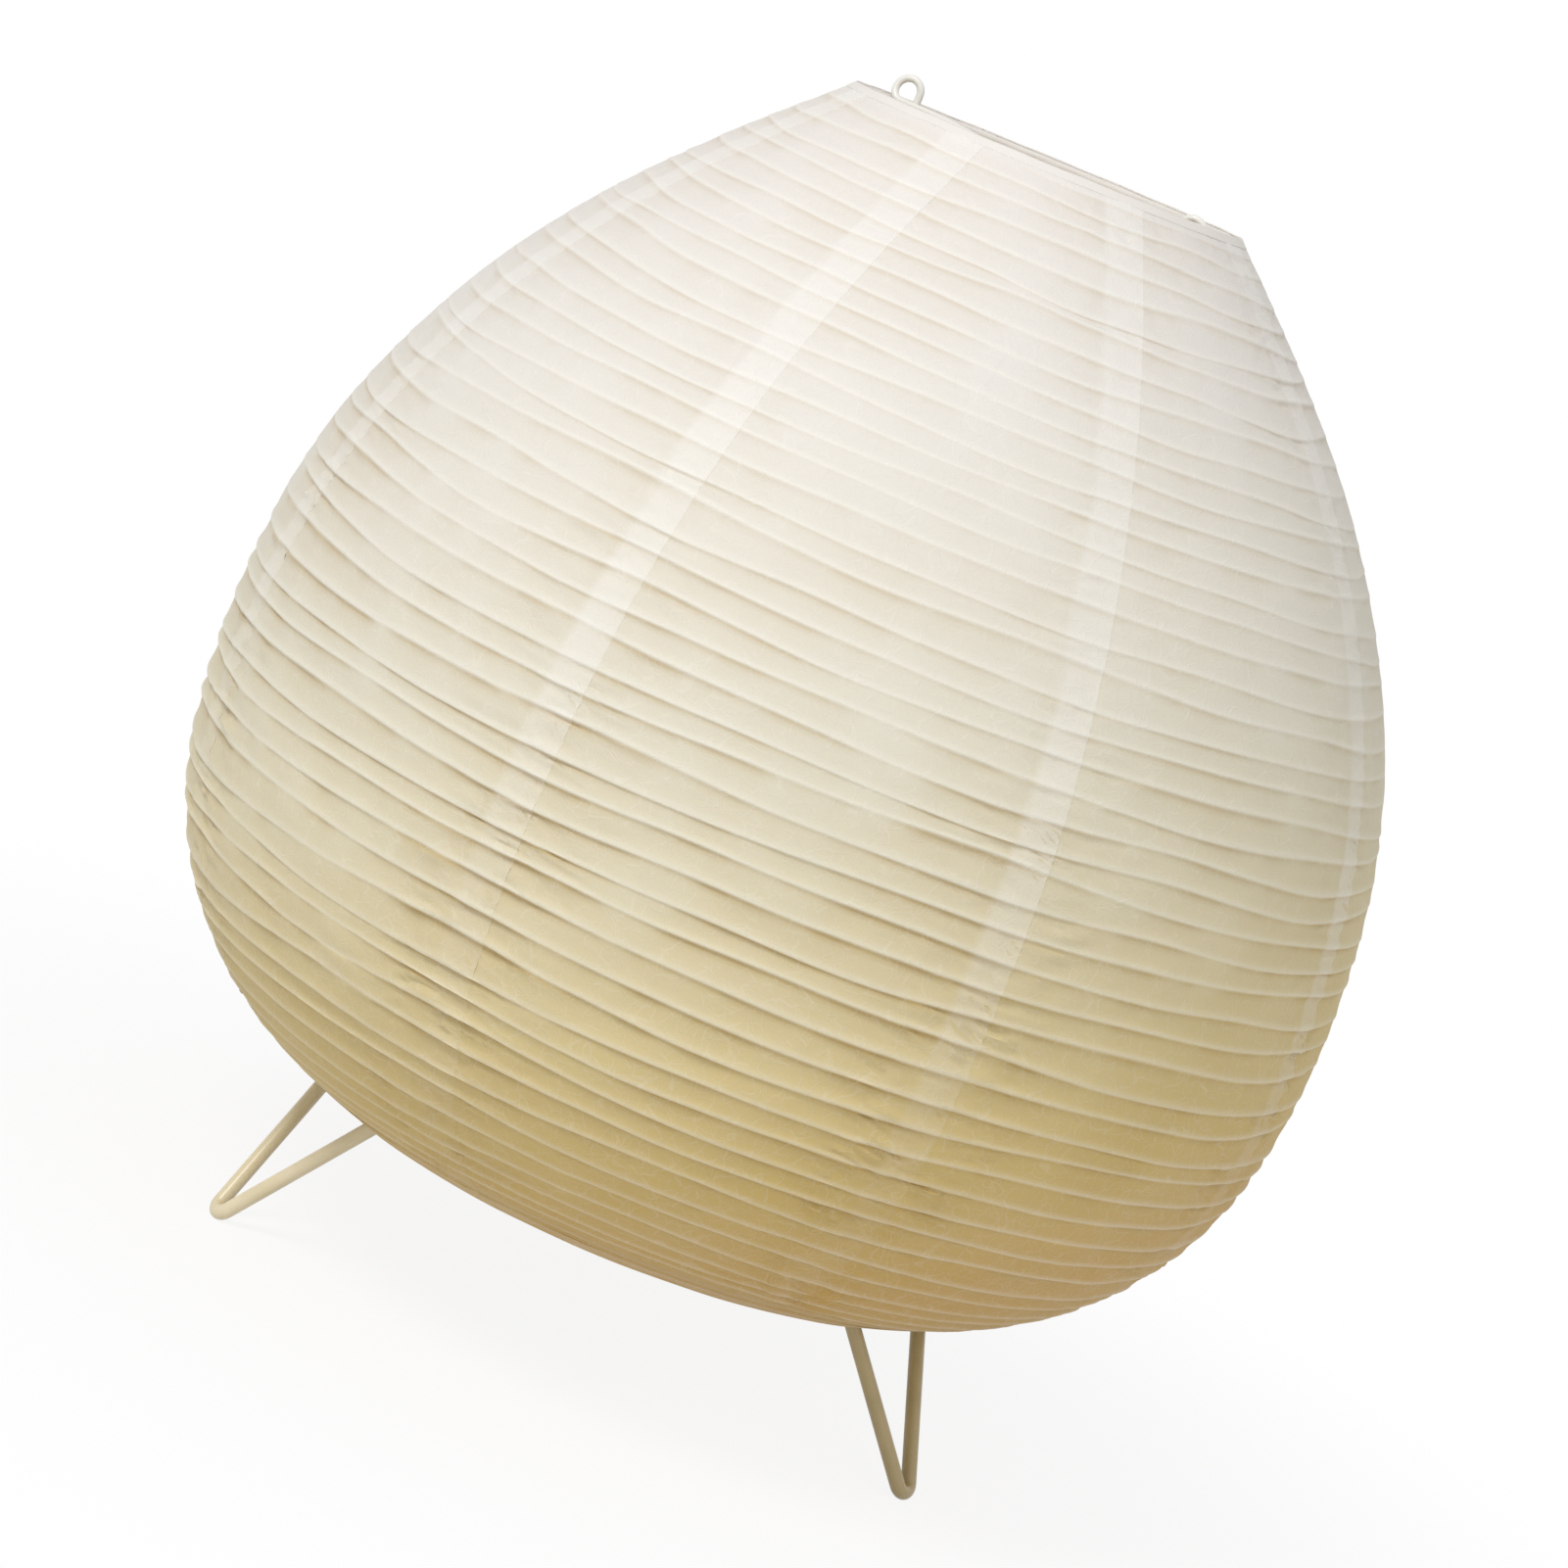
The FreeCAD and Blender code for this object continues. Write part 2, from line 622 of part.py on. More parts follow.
def thread(low, turns, root, crest):
    """Corners of a rolled lamp thread, from the bottom up."""
    corners = [(root, low)]
    for turn in range(int(size(turns))):
        corners.append((crest, f"{low} + {turn + 0.5} * thread_pitch"))
        corners.append((root, f"{low} + {turn + 1.0} * thread_pitch"))
    return corners


BULB_BOTTOM = f"({BLOCK_TOP} + contact_height + bulb_gap)"
TIP_TOP = f"({BULB_BOTTOM} + button_height + tip_length)"
CAP_CROWN = f"({TIP_TOP} + cap_turns * thread_pitch + cap_collar)"


def screw_shell():
    """The rolled metal sleeve that the bulb screws into, standing on the block."""
    inside = thread(TIP_TOP, "shell_turns", "cap_root_radius + bulb_gap",
                    "cap_crest_radius + bulb_gap")
    outside = [(f"{radius} + shell_wall", height) for radius, height in inside]
    foot = "cap_root_radius + bulb_gap"
    turned_body("screw_shell", [(foot, BLOCK_TOP)] + inside + outside[::-1]
                + [(f"{foot} + shell_wall", BLOCK_TOP)])


def centre_contact():
    """The sprung brass leaf under the bulb's button."""
    parts = []
    shapes = (("foot", "-contact_reach", "contact_reach / 2", "0", "contact_leaf"),
              ("riser", "-contact_reach / 2", "contact_leaf", "0", "contact_height"),
              ("leaf", "-contact_reach / 2", "contact_reach",
               "contact_height - contact_leaf", "contact_leaf"))
    for name, start, length, rise, height in shapes:
        box = doc.addObject("Part::Box", "contact_" + name)
        bind(box, Length=length, Width="contact_width", Height=height)
        box.setExpression("Placement.Base.x", sized(start))
        box.setExpression("Placement.Base.y", sized("-contact_width / 2"))
        lift(box, f"{BLOCK_TOP} + {rise}")
        parts.append(box)
    strip = doc.addObject("Part::MultiFuse", "contact_strip")
    strip.Shapes = parts
    keep(strip, "centre_contact")


# ---------------------------------------------------------------- bulb

def bulb_base():
    """The button, its insulator and the threaded cap."""
    tip_low = f"({BULB_BOTTOM} + button_height)"
    turned_body("bulb_button", [("0", BULB_BOTTOM), ("button_radius - button_bevel", BULB_BOTTOM),
                                ("button_radius", tip_low), ("0", tip_low)])
    turned_body("bulb_insulator", [("0", tip_low), ("button_radius", tip_low),
                                   ("cap_root_radius - cap_wall", TIP_TOP), ("0", TIP_TOP)])
    outside = thread(TIP_TOP, "cap_turns", "cap_root_radius", "cap_crest_radius")
    inner = "cap_root_radius - cap_wall"
    turned_body("bulb_cap", [(inner, TIP_TOP)] + outside
                + [("cap_root_radius", CAP_CROWN), (inner, CAP_CROWN)])


def glass_side(radius, neck, centre, low):
    """Half outline of a bulb's glass: a straight neck that runs into a round top."""
    start = FreeCAD.Vector(neck, 0, low)
    span = math.hypot(neck, centre - low)
    turn = math.atan2(centre - low, neck) - math.acos(radius / span)
    touch = FreeCAD.Vector(radius * math.cos(turn), 0, centre - radius * math.sin(turn))
    middle = (math.pi / 2.0 - turn) / 2.0
    bulge = FreeCAD.Vector(radius * math.cos(middle), 0, centre + radius * math.sin(middle))
    top = FreeCAD.Vector(0, 0, centre + radius)
    return [Part.LineSegment(start, touch).toShape(), Part.Arc(touch, bulge, top).toShape()]


def bulb_glass():
    low = evaluate(CAP_CROWN)
    wall = size("glass_wall")
    centre = low + size("globe_rise")
    outside = glass_side(size("globe_radius"), size("glass_neck_radius"), centre, low)
    inside = glass_side(size("globe_radius") - wall, size("glass_neck_radius") - wall, centre, low)
    axis_top = Part.LineSegment(outside[1].Vertexes[1].Point, inside[1].Vertexes[1].Point)
    rim = Part.LineSegment(inside[0].Vertexes[0].Point, outside[0].Vertexes[0].Point)
    section = Part.Wire(Part.__sortEdges__(outside + inside
                                           + [axis_top.toShape(), rim.toShape()]))
    feature("bulb_glass", Part.Face(section).revolve(FreeCAD.Vector(0, 0, 0),
                                                      FreeCAD.Vector(0, 0, 1), 360))


def bulb_stem():
    """The glass mount inside the bulb, flared to meet the neck."""
    flare = "(glass_neck_radius - glass_wall - glue_gap)"
    waist = f"({CAP_CROWN} + stem_flare_height)"
    top = f"({CAP_CROWN} + stem_length)"
    turned_body("bulb_stem", [
        ("0", CAP_CROWN), (flare, CAP_CROWN), ("stem_radius", waist),
        ("stem_radius", f"{top} - stem_tip_length"), ("stem_tip_radius", f"{top} - stem_tip_length"),
        ("stem_tip_radius", top), ("0", top)])


def bulb_filaments():
    """Upright filaments round the stem, joined by a wire star below and above."""
    low = evaluate(CAP_CROWN) + size("stem_length") - size("stem_tip_length") / 2.0
    high = low + size("filament_length")
    star_low = low + size("filament_end")
    star_high = high - size("filament_end")
    wire = size("filament_wire_radius")
    reach = size("filament_reach")
    start = size("stem_tip_radius") + size("glue_gap")
    up = FreeCAD.Vector(0, 0, 1)
    count = int(size("filament_count"))
    parts = [Part.makeCylinder(size("star_hub_radius"), size("star_hub_length"),
                               up * (star_high - size("star_hub_length") / 2.0))]
    for number in range(count):
        angle = 2.0 * math.pi * number / count
        way = FreeCAD.Vector(math.cos(angle), math.sin(angle), 0)
        hub = size("star_hub_radius") / 2.0
        parts.append(Part.makeCylinder(wire, reach - start, way * start + up * star_low, way))
        parts.append(Part.makeCylinder(wire, reach - hub, way * hub + up * star_high, way))
        parts.append(Part.makeCylinder(size("filament_radius"), high - low,
                                       way * reach + up * low, up))
    feature("bulb_filaments", parts[0].fuse(parts[1:]).removeSplitter())


doc.recompute()
paper_panels()
bamboo_rib()
hoops()
base_ring()
leg("front_right_leg", -30.0)
leg("front_left_leg", 210.0)
leg("rear_leg", 90.0)
base_strap()
sockets(stretcher())
nipple()
lock_nut()
cord_gland()
holder_cap()
holder_body()
terminal_block()
terminal_screws()
screw_shell()
centre_contact()
bulb_base()
bulb_glass()
bulb_stem()
bulb_filaments()
doc.recompute()
print("shade: meridian %.1f mm, rib pitch %.2f mm" % (SHADE_LENGTH, RIB_PITCH))

for item in doc.Objects:
    if "Invalid" in item.State or "Error" in item.State:
        raise RuntimeError(f"{item.Label} failed: {item.State}")
for item in sub_parts:
    if item.Shape.isNull() or not item.Shape.isValid():
        raise RuntimeError(f"{item.Label} has no valid shape")

os.makedirs("parts", exist_ok=True)
for item in sub_parts:
    item.Shape.exportStep(f"parts/{item.Label}.step")
    print(item.Label, len(item.Shape.Solids), "solid, volume", round(item.Shape.Volume, 1))
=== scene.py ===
import math

import bpy
import numpy as np
from mathutils import Matrix, Vector


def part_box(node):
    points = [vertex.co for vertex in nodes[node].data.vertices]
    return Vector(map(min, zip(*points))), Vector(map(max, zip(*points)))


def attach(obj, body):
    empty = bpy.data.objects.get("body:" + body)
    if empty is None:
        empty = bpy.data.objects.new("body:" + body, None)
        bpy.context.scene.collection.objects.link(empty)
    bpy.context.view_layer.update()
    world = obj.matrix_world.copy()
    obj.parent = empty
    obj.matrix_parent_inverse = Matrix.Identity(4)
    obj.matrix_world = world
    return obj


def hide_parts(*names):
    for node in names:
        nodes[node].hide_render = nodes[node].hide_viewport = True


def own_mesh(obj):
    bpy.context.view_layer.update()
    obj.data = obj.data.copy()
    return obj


# Paper lantern floor lamp.  Metres, +Z up, the lamp's front faces -Y.
# The shade's paper, its bamboo rib and its hems are made here, on the profile that the
# frame's own paper panels have.  Everything rigid keeps its CAD shape and gets its finish.

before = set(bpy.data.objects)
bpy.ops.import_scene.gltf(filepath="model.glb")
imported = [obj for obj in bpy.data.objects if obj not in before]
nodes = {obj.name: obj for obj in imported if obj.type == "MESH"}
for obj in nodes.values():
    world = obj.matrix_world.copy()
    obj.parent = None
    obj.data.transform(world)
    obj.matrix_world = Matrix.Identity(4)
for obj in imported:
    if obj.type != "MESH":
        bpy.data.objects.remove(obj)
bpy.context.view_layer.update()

GORES = 8
GORE_ANGLE = math.tau / GORES
RIB_TURNS = 47
RIB_MARGIN = 0.006        # from the rim to the rib's top end, and from its foot to the hem
RIB_START = -math.pi / 2  # the rib's top end is at the front
PAPER = 0.00015
LAP = 0.017               # the glued overlap of two gores
LAP_LIFT = 0.00012        # how far the upper gore stands out over a lap
LAP_SINK = 0.00025        # and how far the lower one dips under it
SEAM_REACH = 0.06         # how far the puckers run out from a seam
LOOSE_BELOW, TAUT_ABOVE = 0.17, 0.42  # heights between which the paper gets tauter
HEM = 0.013               # the width of the strip pasted round the bottom mouth
TOP_HEM = 0.006           # and of the one round the top mouth
HEM_GROOVE = 0.0006       # how deep the paper dips along the upper edge of the bottom strip
STRIP_EDGE = 0.00015      # the strips' height over the paper at their free edges
STRIP_FOLD = 0.0004       # and where they are folded at the mouth
STRIP_BACK = 0.0001       # how far the strips' backs lie inside the paper's face
TAPE_GAP = 0.00015        # between a hoop's wire and the tape round it
TAPE_WALL = 0.0003
TAPE_LAP = 0.0005         # the rise of the tape's end over its start
RIM_CUT = 0.0013          # the paper ends this far short of the profile's start
RIB_RADIUS = 0.00095
RIB_INSET = 0.0019        # from the paper's face to the middle of the rib
RIB_STRAY = 0.0062        # how far the rib strays from its even turns, at most
RIB_KEEP = (0.004, 0.0045)  # the rib stays this far from the rim and from the hem
EXTRA_TURNS = 2           # a gore's grid starts so many turns above the rib's top end


# ---------------------------------------------------------------- shade's profile

def shade_profile():
    """Radius and height along the shade from rim to hem: the outer hull of the CAD panels."""
    spots = []
    for number in range(1, GORES + 1):
        mesh = nodes[f"paper_panel_{number}"].data
        for vertex in mesh.vertices:
            spots.append((round(vertex.co.xy.length, 6), round(vertex.co.z, 6)))
    hull = []
    for spot in sorted(set(spots), key=lambda s: (-s[1], s[0])):
        while len(hull) > 1 and turns_in(hull[-2], hull[-1], spot):
            hull.pop()
        hull.append(spot)
    top = max(range(len(hull)), key=lambda i: hull[i][1])
    return evened(np.array(hull[top:]))


def evened(corners, spacing=0.002, reach=0.006):
    """The same line in even steps, with its small corners smoothed away."""
    stops = np.concatenate([[0.0], np.cumsum(np.linalg.norm(np.diff(corners, axis=0), axis=1))])
    places = np.linspace(0.0, stops[-1], int(stops[-1] / spacing))
    even = np.column_stack([np.interp(places, stops, corners[:, axis]) for axis in (0, 1)])
    edge = int(3 * reach / spacing)
    weights = np.exp(-0.5 * (np.arange(-edge, edge + 1) * spacing / reach) ** 2)
    weights /= weights.sum()
    before = 2 * even[0] - even[edge:0:-1]
    after = 2 * even[-1] - even[-2:-edge - 2:-1]
    padded = np.vstack([before, even, after])
    return np.column_stack([np.convolve(padded[:, axis], weights, "valid") for axis in (0, 1)])


def turns_in(first, second, third):
    """True where the middle one of three outline points lies on the inner side."""
    along = (second[0] - first[0], second[1] - first[1])
    onward = (third[0] - first[0], third[1] - first[1])
    return along[0] * onward[1] - along[1] * onward[0] >= 0


def profile_curve(points):
    """The profile as a curve object in the XZ plane, which the trees sample."""
    data = bpy.data.curves.new("shade_profile", "CURVE")
    data.dimensions = "3D"
    spline = data.splines.new("POLY")
    spline.points.add(len(points) - 1)
    for point, (radius, height) in zip(spline.points, points):
        point.co = (radius, 0, height, 1)
    guide = bpy.data.objects.new("shade_profile", data)
    bpy.context.scene.collection.objects.link(guide)
    return guide


profile = shade_profile()
steps = np.linalg.norm(np.diff(profile, axis=0), axis=1)
SHADE_LENGTH = float(steps.sum())
RIB_PITCH = (SHADE_LENGTH - 2 * RIB_MARGIN) / RIB_TURNS
guide = profile_curve(profile)


# ---------------------------------------------------------------- node tree helpers

class Tree:
    """Short words for building a node tree."""

    def __init__(self, name, kind="GeometryNodeTree"):
        self.group = bpy.data.node_groups.new(name, kind)
        self.entry = self.group.nodes.new("NodeGroupInput")
        self.leave = self.group.nodes.new("NodeGroupOutput")

    def socket(self, name, kind, value=None, out=False):
        made = self.group.interface.new_socket(name, in_out="OUTPUT" if out else "INPUT",
                                               socket_type="NodeSocket" + kind)
        if value is not None:
            made.default_value = value
        return self.entry.outputs[name] if not out else self.leave.inputs[name]

    def node(self, kind, links=None, **options):
        node = self.group.nodes.new(kind)
        for key, value in options.items():
            setattr(node, key, value)
        for key, value in (links or {}).items():
            self.feed(node.inputs[key], value)
        return node

    def feed(self, socket, value):
        if isinstance(value, bpy.types.NodeSocket):
            self.group.links.new(value, socket)
        else:
            socket.default_value = value

    def math(self, operation, *values):
        node = self.node("ShaderNodeMath", operation=operation)
        for socket, value in zip(node.inputs, values):
            self.feed(socket, value)
        return node.outputs[0]

    def add(self, *values):
        total = values[0]
        for value in values[1:]:
            total = self.math("ADD", total, value)
        return total

    def times(self, *values):
        total = values[0]
        for value in values[1:]:
            total = self.math("MULTIPLY", total, value)
        return total

    def minus(self, one, other):
        return self.math("SUBTRACT", one, other)

    def between(self, value, low, high, to_low=0.0, to_high=1.0):
        """A smooth step from to_low at low to to_high at high."""
        node = self.node("ShaderNodeMapRange", interpolation_type="SMOOTHSTEP")
        for index, number in enumerate((value, low, high, to_low, to_high)):
            self.feed(node.inputs[index], number)
        return node.outputs[0]

    def vector(self, x, y, z):
        return self.node("ShaderNodeCombineXYZ", {"X": x, "Y": y, "Z": z}).outputs[0]

    def noise(self, where, scale, detail=2.0, dimensions="3D"):
        """Soft noise from about -1 to 1."""
        node = self.node("ShaderNodeTexNoise", noise_dimensions=dimensions)
        self.feed(node.inputs["W" if dimensions == "1D" else "Vector"], where)
        node.inputs["Scale"].default_value = scale
        node.inputs["Detail"].default_value = detail
        return self.times(self.minus(node.outputs[0], 0.5), 2.0)

    def hand_over(self, shape, material, out):
        """The end of a shape's tree: one real, smooth mesh with its material."""
        for kind in ("GeometryNodeRealizeInstances", "GeometryNodeSetShadeSmooth"):
            shape = self.node(kind, {"Geometry": shape}).outputs[0]
        shape = self.node("GeometryNodeSetMaterial", {"Geometry": shape, "Material": material})
        self.feed(out, shape.outputs[0])


def rib_wander():
    """Node group: how far the rib strays along the paper, so many turns from its top end."""
    tree = Tree("rib_wander")
    turn = tree.socket("Turn", "Float")
    amount = tree.socket("Amount", "Float")
    out = tree.socket("Stray", "Float", out=True)
    slow = tree.noise(turn, 2.7, 1.0, "1D")
    quick = tree.noise(tree.add(turn, 31.7), 9.0, 1.0, "1D")
    tree.feed(out, tree.times(amount, tree.add(slow, tree.times(quick, 0.6))))
    return tree.group


def add_profile_sample(tree, guide_socket, distance):
    """Nodes that give the profile's radius, height and outward direction at a distance."""
    info = tree.node("GeometryNodeObjectInfo", {"Object": guide_socket})
    sample = tree.node("GeometryNodeSampleCurve", mode="LENGTH", use_all_curves=False)
    tree.feed(sample.inputs["Curves"], info.outputs["Geometry"])
    tree.feed(sample.inputs["Length"], distance)
    place = tree.node("ShaderNodeSeparateXYZ", {"Vector": sample.outputs["Position"]})
    way = tree.node("ShaderNodeSeparateXYZ", {"Vector": sample.outputs["Tangent"]})
    out_across = tree.times(way.outputs["Z"], -1.0)
    return place.outputs["X"], place.outputs["Z"], out_across, way.outputs["X"]


def turned_place(tree, radius, height, angle):
    """Nodes that set a radius and height out at an angle about the axis."""
    return tree.vector(tree.times(radius, tree.math("COSINE", angle)),
                       tree.times(radius, tree.math("SINE", angle)), height)


# The paper between two turns of the rib, from one rib down to the next: it tucks in
# sharply under a rib and comes out again slowly towards the next.
SAG = ((0.0, 0.0), (0.045, 0.2), (0.09, 0.66), (0.14, 0.93), (0.2, 1.0), (0.34, 0.98),
       (0.5, 0.93), (0.67, 0.79), (0.81, 0.52), (0.92, 0.19), (1.0, 0.0))
ROWS_PER_TURN = len(SAG) - 1
# Painted shade just under each rib: how strongly it darkens the paper, from one rib down to the
# next.
SHADE_UNDER_RIB = ((0.0, 0.0), (0.045, 0.3), (0.09, 0.95), (0.14, 1.0), (0.2, 0.55), (0.32, 0.15),
          (1.0, 0.0))


def add_curve(tree, value, corners):
    """A float curve through corners."""
    node = tree.node("ShaderNodeFloatCurve", {"Value": value})
    line = node.mapping.curves[0]
    line.points[0].location = corners[0]
    line.points[-1].location = corners[-1]
    for x, y in corners[1:-1]:
        line.points.new(x, y)
    for point in line.points:
        point.handle_type = "AUTO_CLAMPED"
    node.mapping.update()
    return node.outputs[0]


def gore_tree(wander):
    """One gore of the shade: paper over a wound rib, lapped at its seams."""
    tree = Tree("paper_gore")
    guide_in = tree.socket("Profile", "Object")
    length = tree.socket("Length", "Float", SHADE_LENGTH)
    pitch = tree.socket("Rib Pitch", "Float", RIB_PITCH)
    margin = tree.socket("Rib Margin", "Float", RIB_MARGIN)
    middle = tree.socket("Middle", "Float")
    share = tree.socket("Gore Angle", "Float", GORE_ANGLE)
    lap = tree.socket("Lap", "Float", LAP)
    lift = tree.socket("Lap Lift", "Float", LAP_LIFT)
    sink = tree.socket("Lap Sink", "Float", LAP_SINK)
    sag = tree.socket("Sag", "Float", 0.00092)
    stray = tree.socket("Rib Stray", "Float", RIB_STRAY)
    crumple = tree.socket("Crumple", "Float", 0.0012)
    pucker = tree.socket("Pucker", "Float", 0.0045)
    hem = tree.socket("Hem", "Float", HEM)
    rim_cut = tree.socket("Rim Cut", "Float", RIM_CUT)
    columns = tree.socket("Columns", "Int", 56)
    paper = tree.socket("Paper", "Material")
    out = tree.socket("Geometry", "Geometry", out=True)

    turns = RIB_TURNS + EXTRA_TURNS + 1.0
    grid = tree.node("GeometryNodeMeshGrid", {"Size X": 1.0, "Size Y": 1.0,
                                              "Vertices X": columns,
                                              "Vertices Y": int(turns * ROWS_PER_TURN) + 1})
    spot = tree.node("GeometryNodeInputPosition")
    flat = tree.node("ShaderNodeSeparateXYZ", {"Vector": spot.outputs[0]})
    across = flat.outputs["X"]
    row = tree.times(tree.add(flat.outputs["Y"], 0.5), turns * ROWS_PER_TURN)
    row = tree.math("ROUND", row)
    rib = tree.math("FLOOR", tree.math("DIVIDE", tree.add(row, 0.5), float(ROWS_PER_TURN)))
    step = tree.math("DIVIDE", tree.minus(row, tree.times(rib, float(ROWS_PER_TURN))),
                     float(ROWS_PER_TURN))
    spread = [(index / ROWS_PER_TURN, x) for index, (x, _) in enumerate(SAG)]
    share_down = add_curve(tree, step, spread)
    rib = tree.minus(rib, float(EXTRA_TURNS))

    middle_turn = tree.math("DIVIDE", tree.minus(middle, RIB_START), math.tau)
    rough = tree.add(margin, tree.times(pitch, tree.add(rib, share_down, middle_turn)))
    rough_radius = add_profile_sample(tree, guide_in, rough)[0]
    wide = tree.add(share, tree.math("DIVIDE", lap, rough_radius))
    angle = tree.add(middle, tree.times(across, wide))
    turn = tree.math("DIVIDE", tree.minus(angle, RIB_START), math.tau)

    strays = []
    for ahead in (0.0, 1.0):
        node = tree.node("GeometryNodeGroup", node_tree=wander)
        tree.feed(node.inputs["Turn"], tree.add(rib, turn, ahead))
        tree.feed(node.inputs["Amount"], stray)
        strays.append(node.outputs[0])
    mixed = tree.add(strays[0], tree.times(share_down, tree.minus(strays[1], strays[0])))
    down = tree.add(margin, tree.times(pitch, tree.add(rib, share_down, turn)), mixed)
    down = tree.math("MAXIMUM", rim_cut, tree.math("MINIMUM", length, down))
    radius, height, out_across, out_up = add_profile_sample(tree, guide_in, down)
    plain = turned_place(tree, radius, height, angle)

    half = tree.times(share, 0.5)
    off_seam = tree.minus(tree.math("ABSOLUTE", tree.minus(angle, middle)), half)
    off_seam = tree.times(tree.math("ABSOLUTE", off_seam), radius)
    right = tree.times(tree.minus(tree.minus(angle, middle), half), radius)
    left = tree.times(tree.minus(tree.minus(middle, angle), half), radius)
    over = tree.between(right, tree.times(lap, -0.65), tree.times(lap, -0.4))
    under = tree.between(left, tree.times(lap, -0.2), tree.times(lap, 0.1))
    double = tree.between(right, tree.times(lap, -0.56), tree.times(lap, -0.46))
    double = tree.times(double, tree.between(height, 0.13, 0.34, 0.12, 1.0))
    near_seam = tree.between(off_seam, 0.0, SEAM_REACH, 1.0, 0.0)

    rest = tree.minus(length, down)
    groove = tree.times(tree.between(rest, hem, tree.add(hem, 0.003)),
                        tree.between(rest, tree.add(hem, 0.003), tree.add(hem, 0.01), 1.0, 0.0))
    edges = tree.times(tree.between(down, TOP_HEM - 0.001, TOP_HEM + 0.007),
                       tree.between(rest, hem, tree.add(hem, 0.008)))
    tuck = tree.times(add_curve(tree, share_down, SAG), edges)
    uneven = tree.noise(plain, 13.0)
    patchy = tree.noise(plain, 37.0)
    lower = tree.between(height, LOOSE_BELOW, TAUT_ABOVE, 1.25, 0.36)
    depth = tree.add(0.82, tree.times(uneven, 1.3), tree.times(patchy, 0.9),
                     tree.times(near_seam, 0.45))
    depth = tree.math("MAXIMUM", depth, 0.1)
    sagged = tree.times(tuck, sag, depth, lower, -1.0)
    fine = tree.times(tree.noise(plain, 110.0), 0.3, tree.add(0.35, near_seam))
    soft = tree.times(tree.add(tree.noise(plain, 30.0, 3.0), fine), crumple,
                      tree.add(0.15, tuck), lower)
    fold = tree.noise(tree.vector(tree.times(tree.math("COSINE", angle), 7.5),
                                  tree.times(tree.math("SINE", angle), 7.5),
                                  tree.add(tree.times(down, 230.0),
                                           tree.times(uneven, 4.0))), 1.0, 1.0)
    fold = tree.math("ABSOLUTE", fold)
    folded = tree.times(near_seam, tree.add(0.8, tree.times(patchy, 1.3)), lower, edges)
    folded = tree.math("MAXIMUM", folded, 0.0)
    pinch = tree.times(tree.minus(fold, 0.16), pucker, folded, tree.add(0.25, tuck))
    raised = tree.add(sagged, soft, pinch, tree.times(over, lift),
                      tree.times(under, sink, -1.0), tree.times(groove, -HEM_GROOVE))
    # Painted shade: this mask darkens the paper just under each rib, more low down, along the
    # pleats by the seams and along the groove over the bottom strip.
    crease = tree.times(add_curve(tree, share_down, SHADE_UNDER_RIB), edges, lower,
                        tree.math("MINIMUM", tree.math("MAXIMUM", tree.minus(depth, 0.35), 0.0),
                                  1.0))
    crease = tree.math("MAXIMUM", crease, tree.times(
        tree.between(fold, 0.02, 0.12, 1.0, 0.0), folded, 0.16))
    crease = tree.math("MAXIMUM", crease, tree.times(groove, 0.8))

    placed = turned_place(tree, tree.add(radius, tree.times(out_across, raised)),
                          tree.add(height, tree.times(out_up, raised)), angle)
    # Painted highlight along the ribs' crests.
    crest = tree.times(tree.math("POWER", tree.minus(1.0, tuck), 3.0), edges)
    # Painted shade in the hollows between the ribs, deeper low down.
    hollow = tree.times(tuck, tree.math("MINIMUM", depth, 1.4), lower)
    shape = grid.outputs["Mesh"]
    for name, value in (("hollow", hollow), ("crest", crest), ("crease", crease),
                        ("double", double)):
        store = tree.node("GeometryNodeStoreNamedAttribute",
                          {"Geometry": shape, "Name": name}, data_type="FLOAT")
        tree.feed(next(s for s in store.inputs if s.name == "Value" and s.enabled), value)
        shape = store.outputs[0]
    shape = tree.node("GeometryNodeSetPosition", {"Geometry": shape,
                                                  "Position": placed}).outputs[0]
    shape = tree.node("GeometryNodeMergeByDistance", {"Geometry": shape,
                                                      "Distance": 0.00003}).outputs[0]
    shape = tree.node("GeometryNodeFlipFaces", {"Mesh": shape}).outputs[0]
    tree.hand_over(shape, paper, out)
    return tree.group


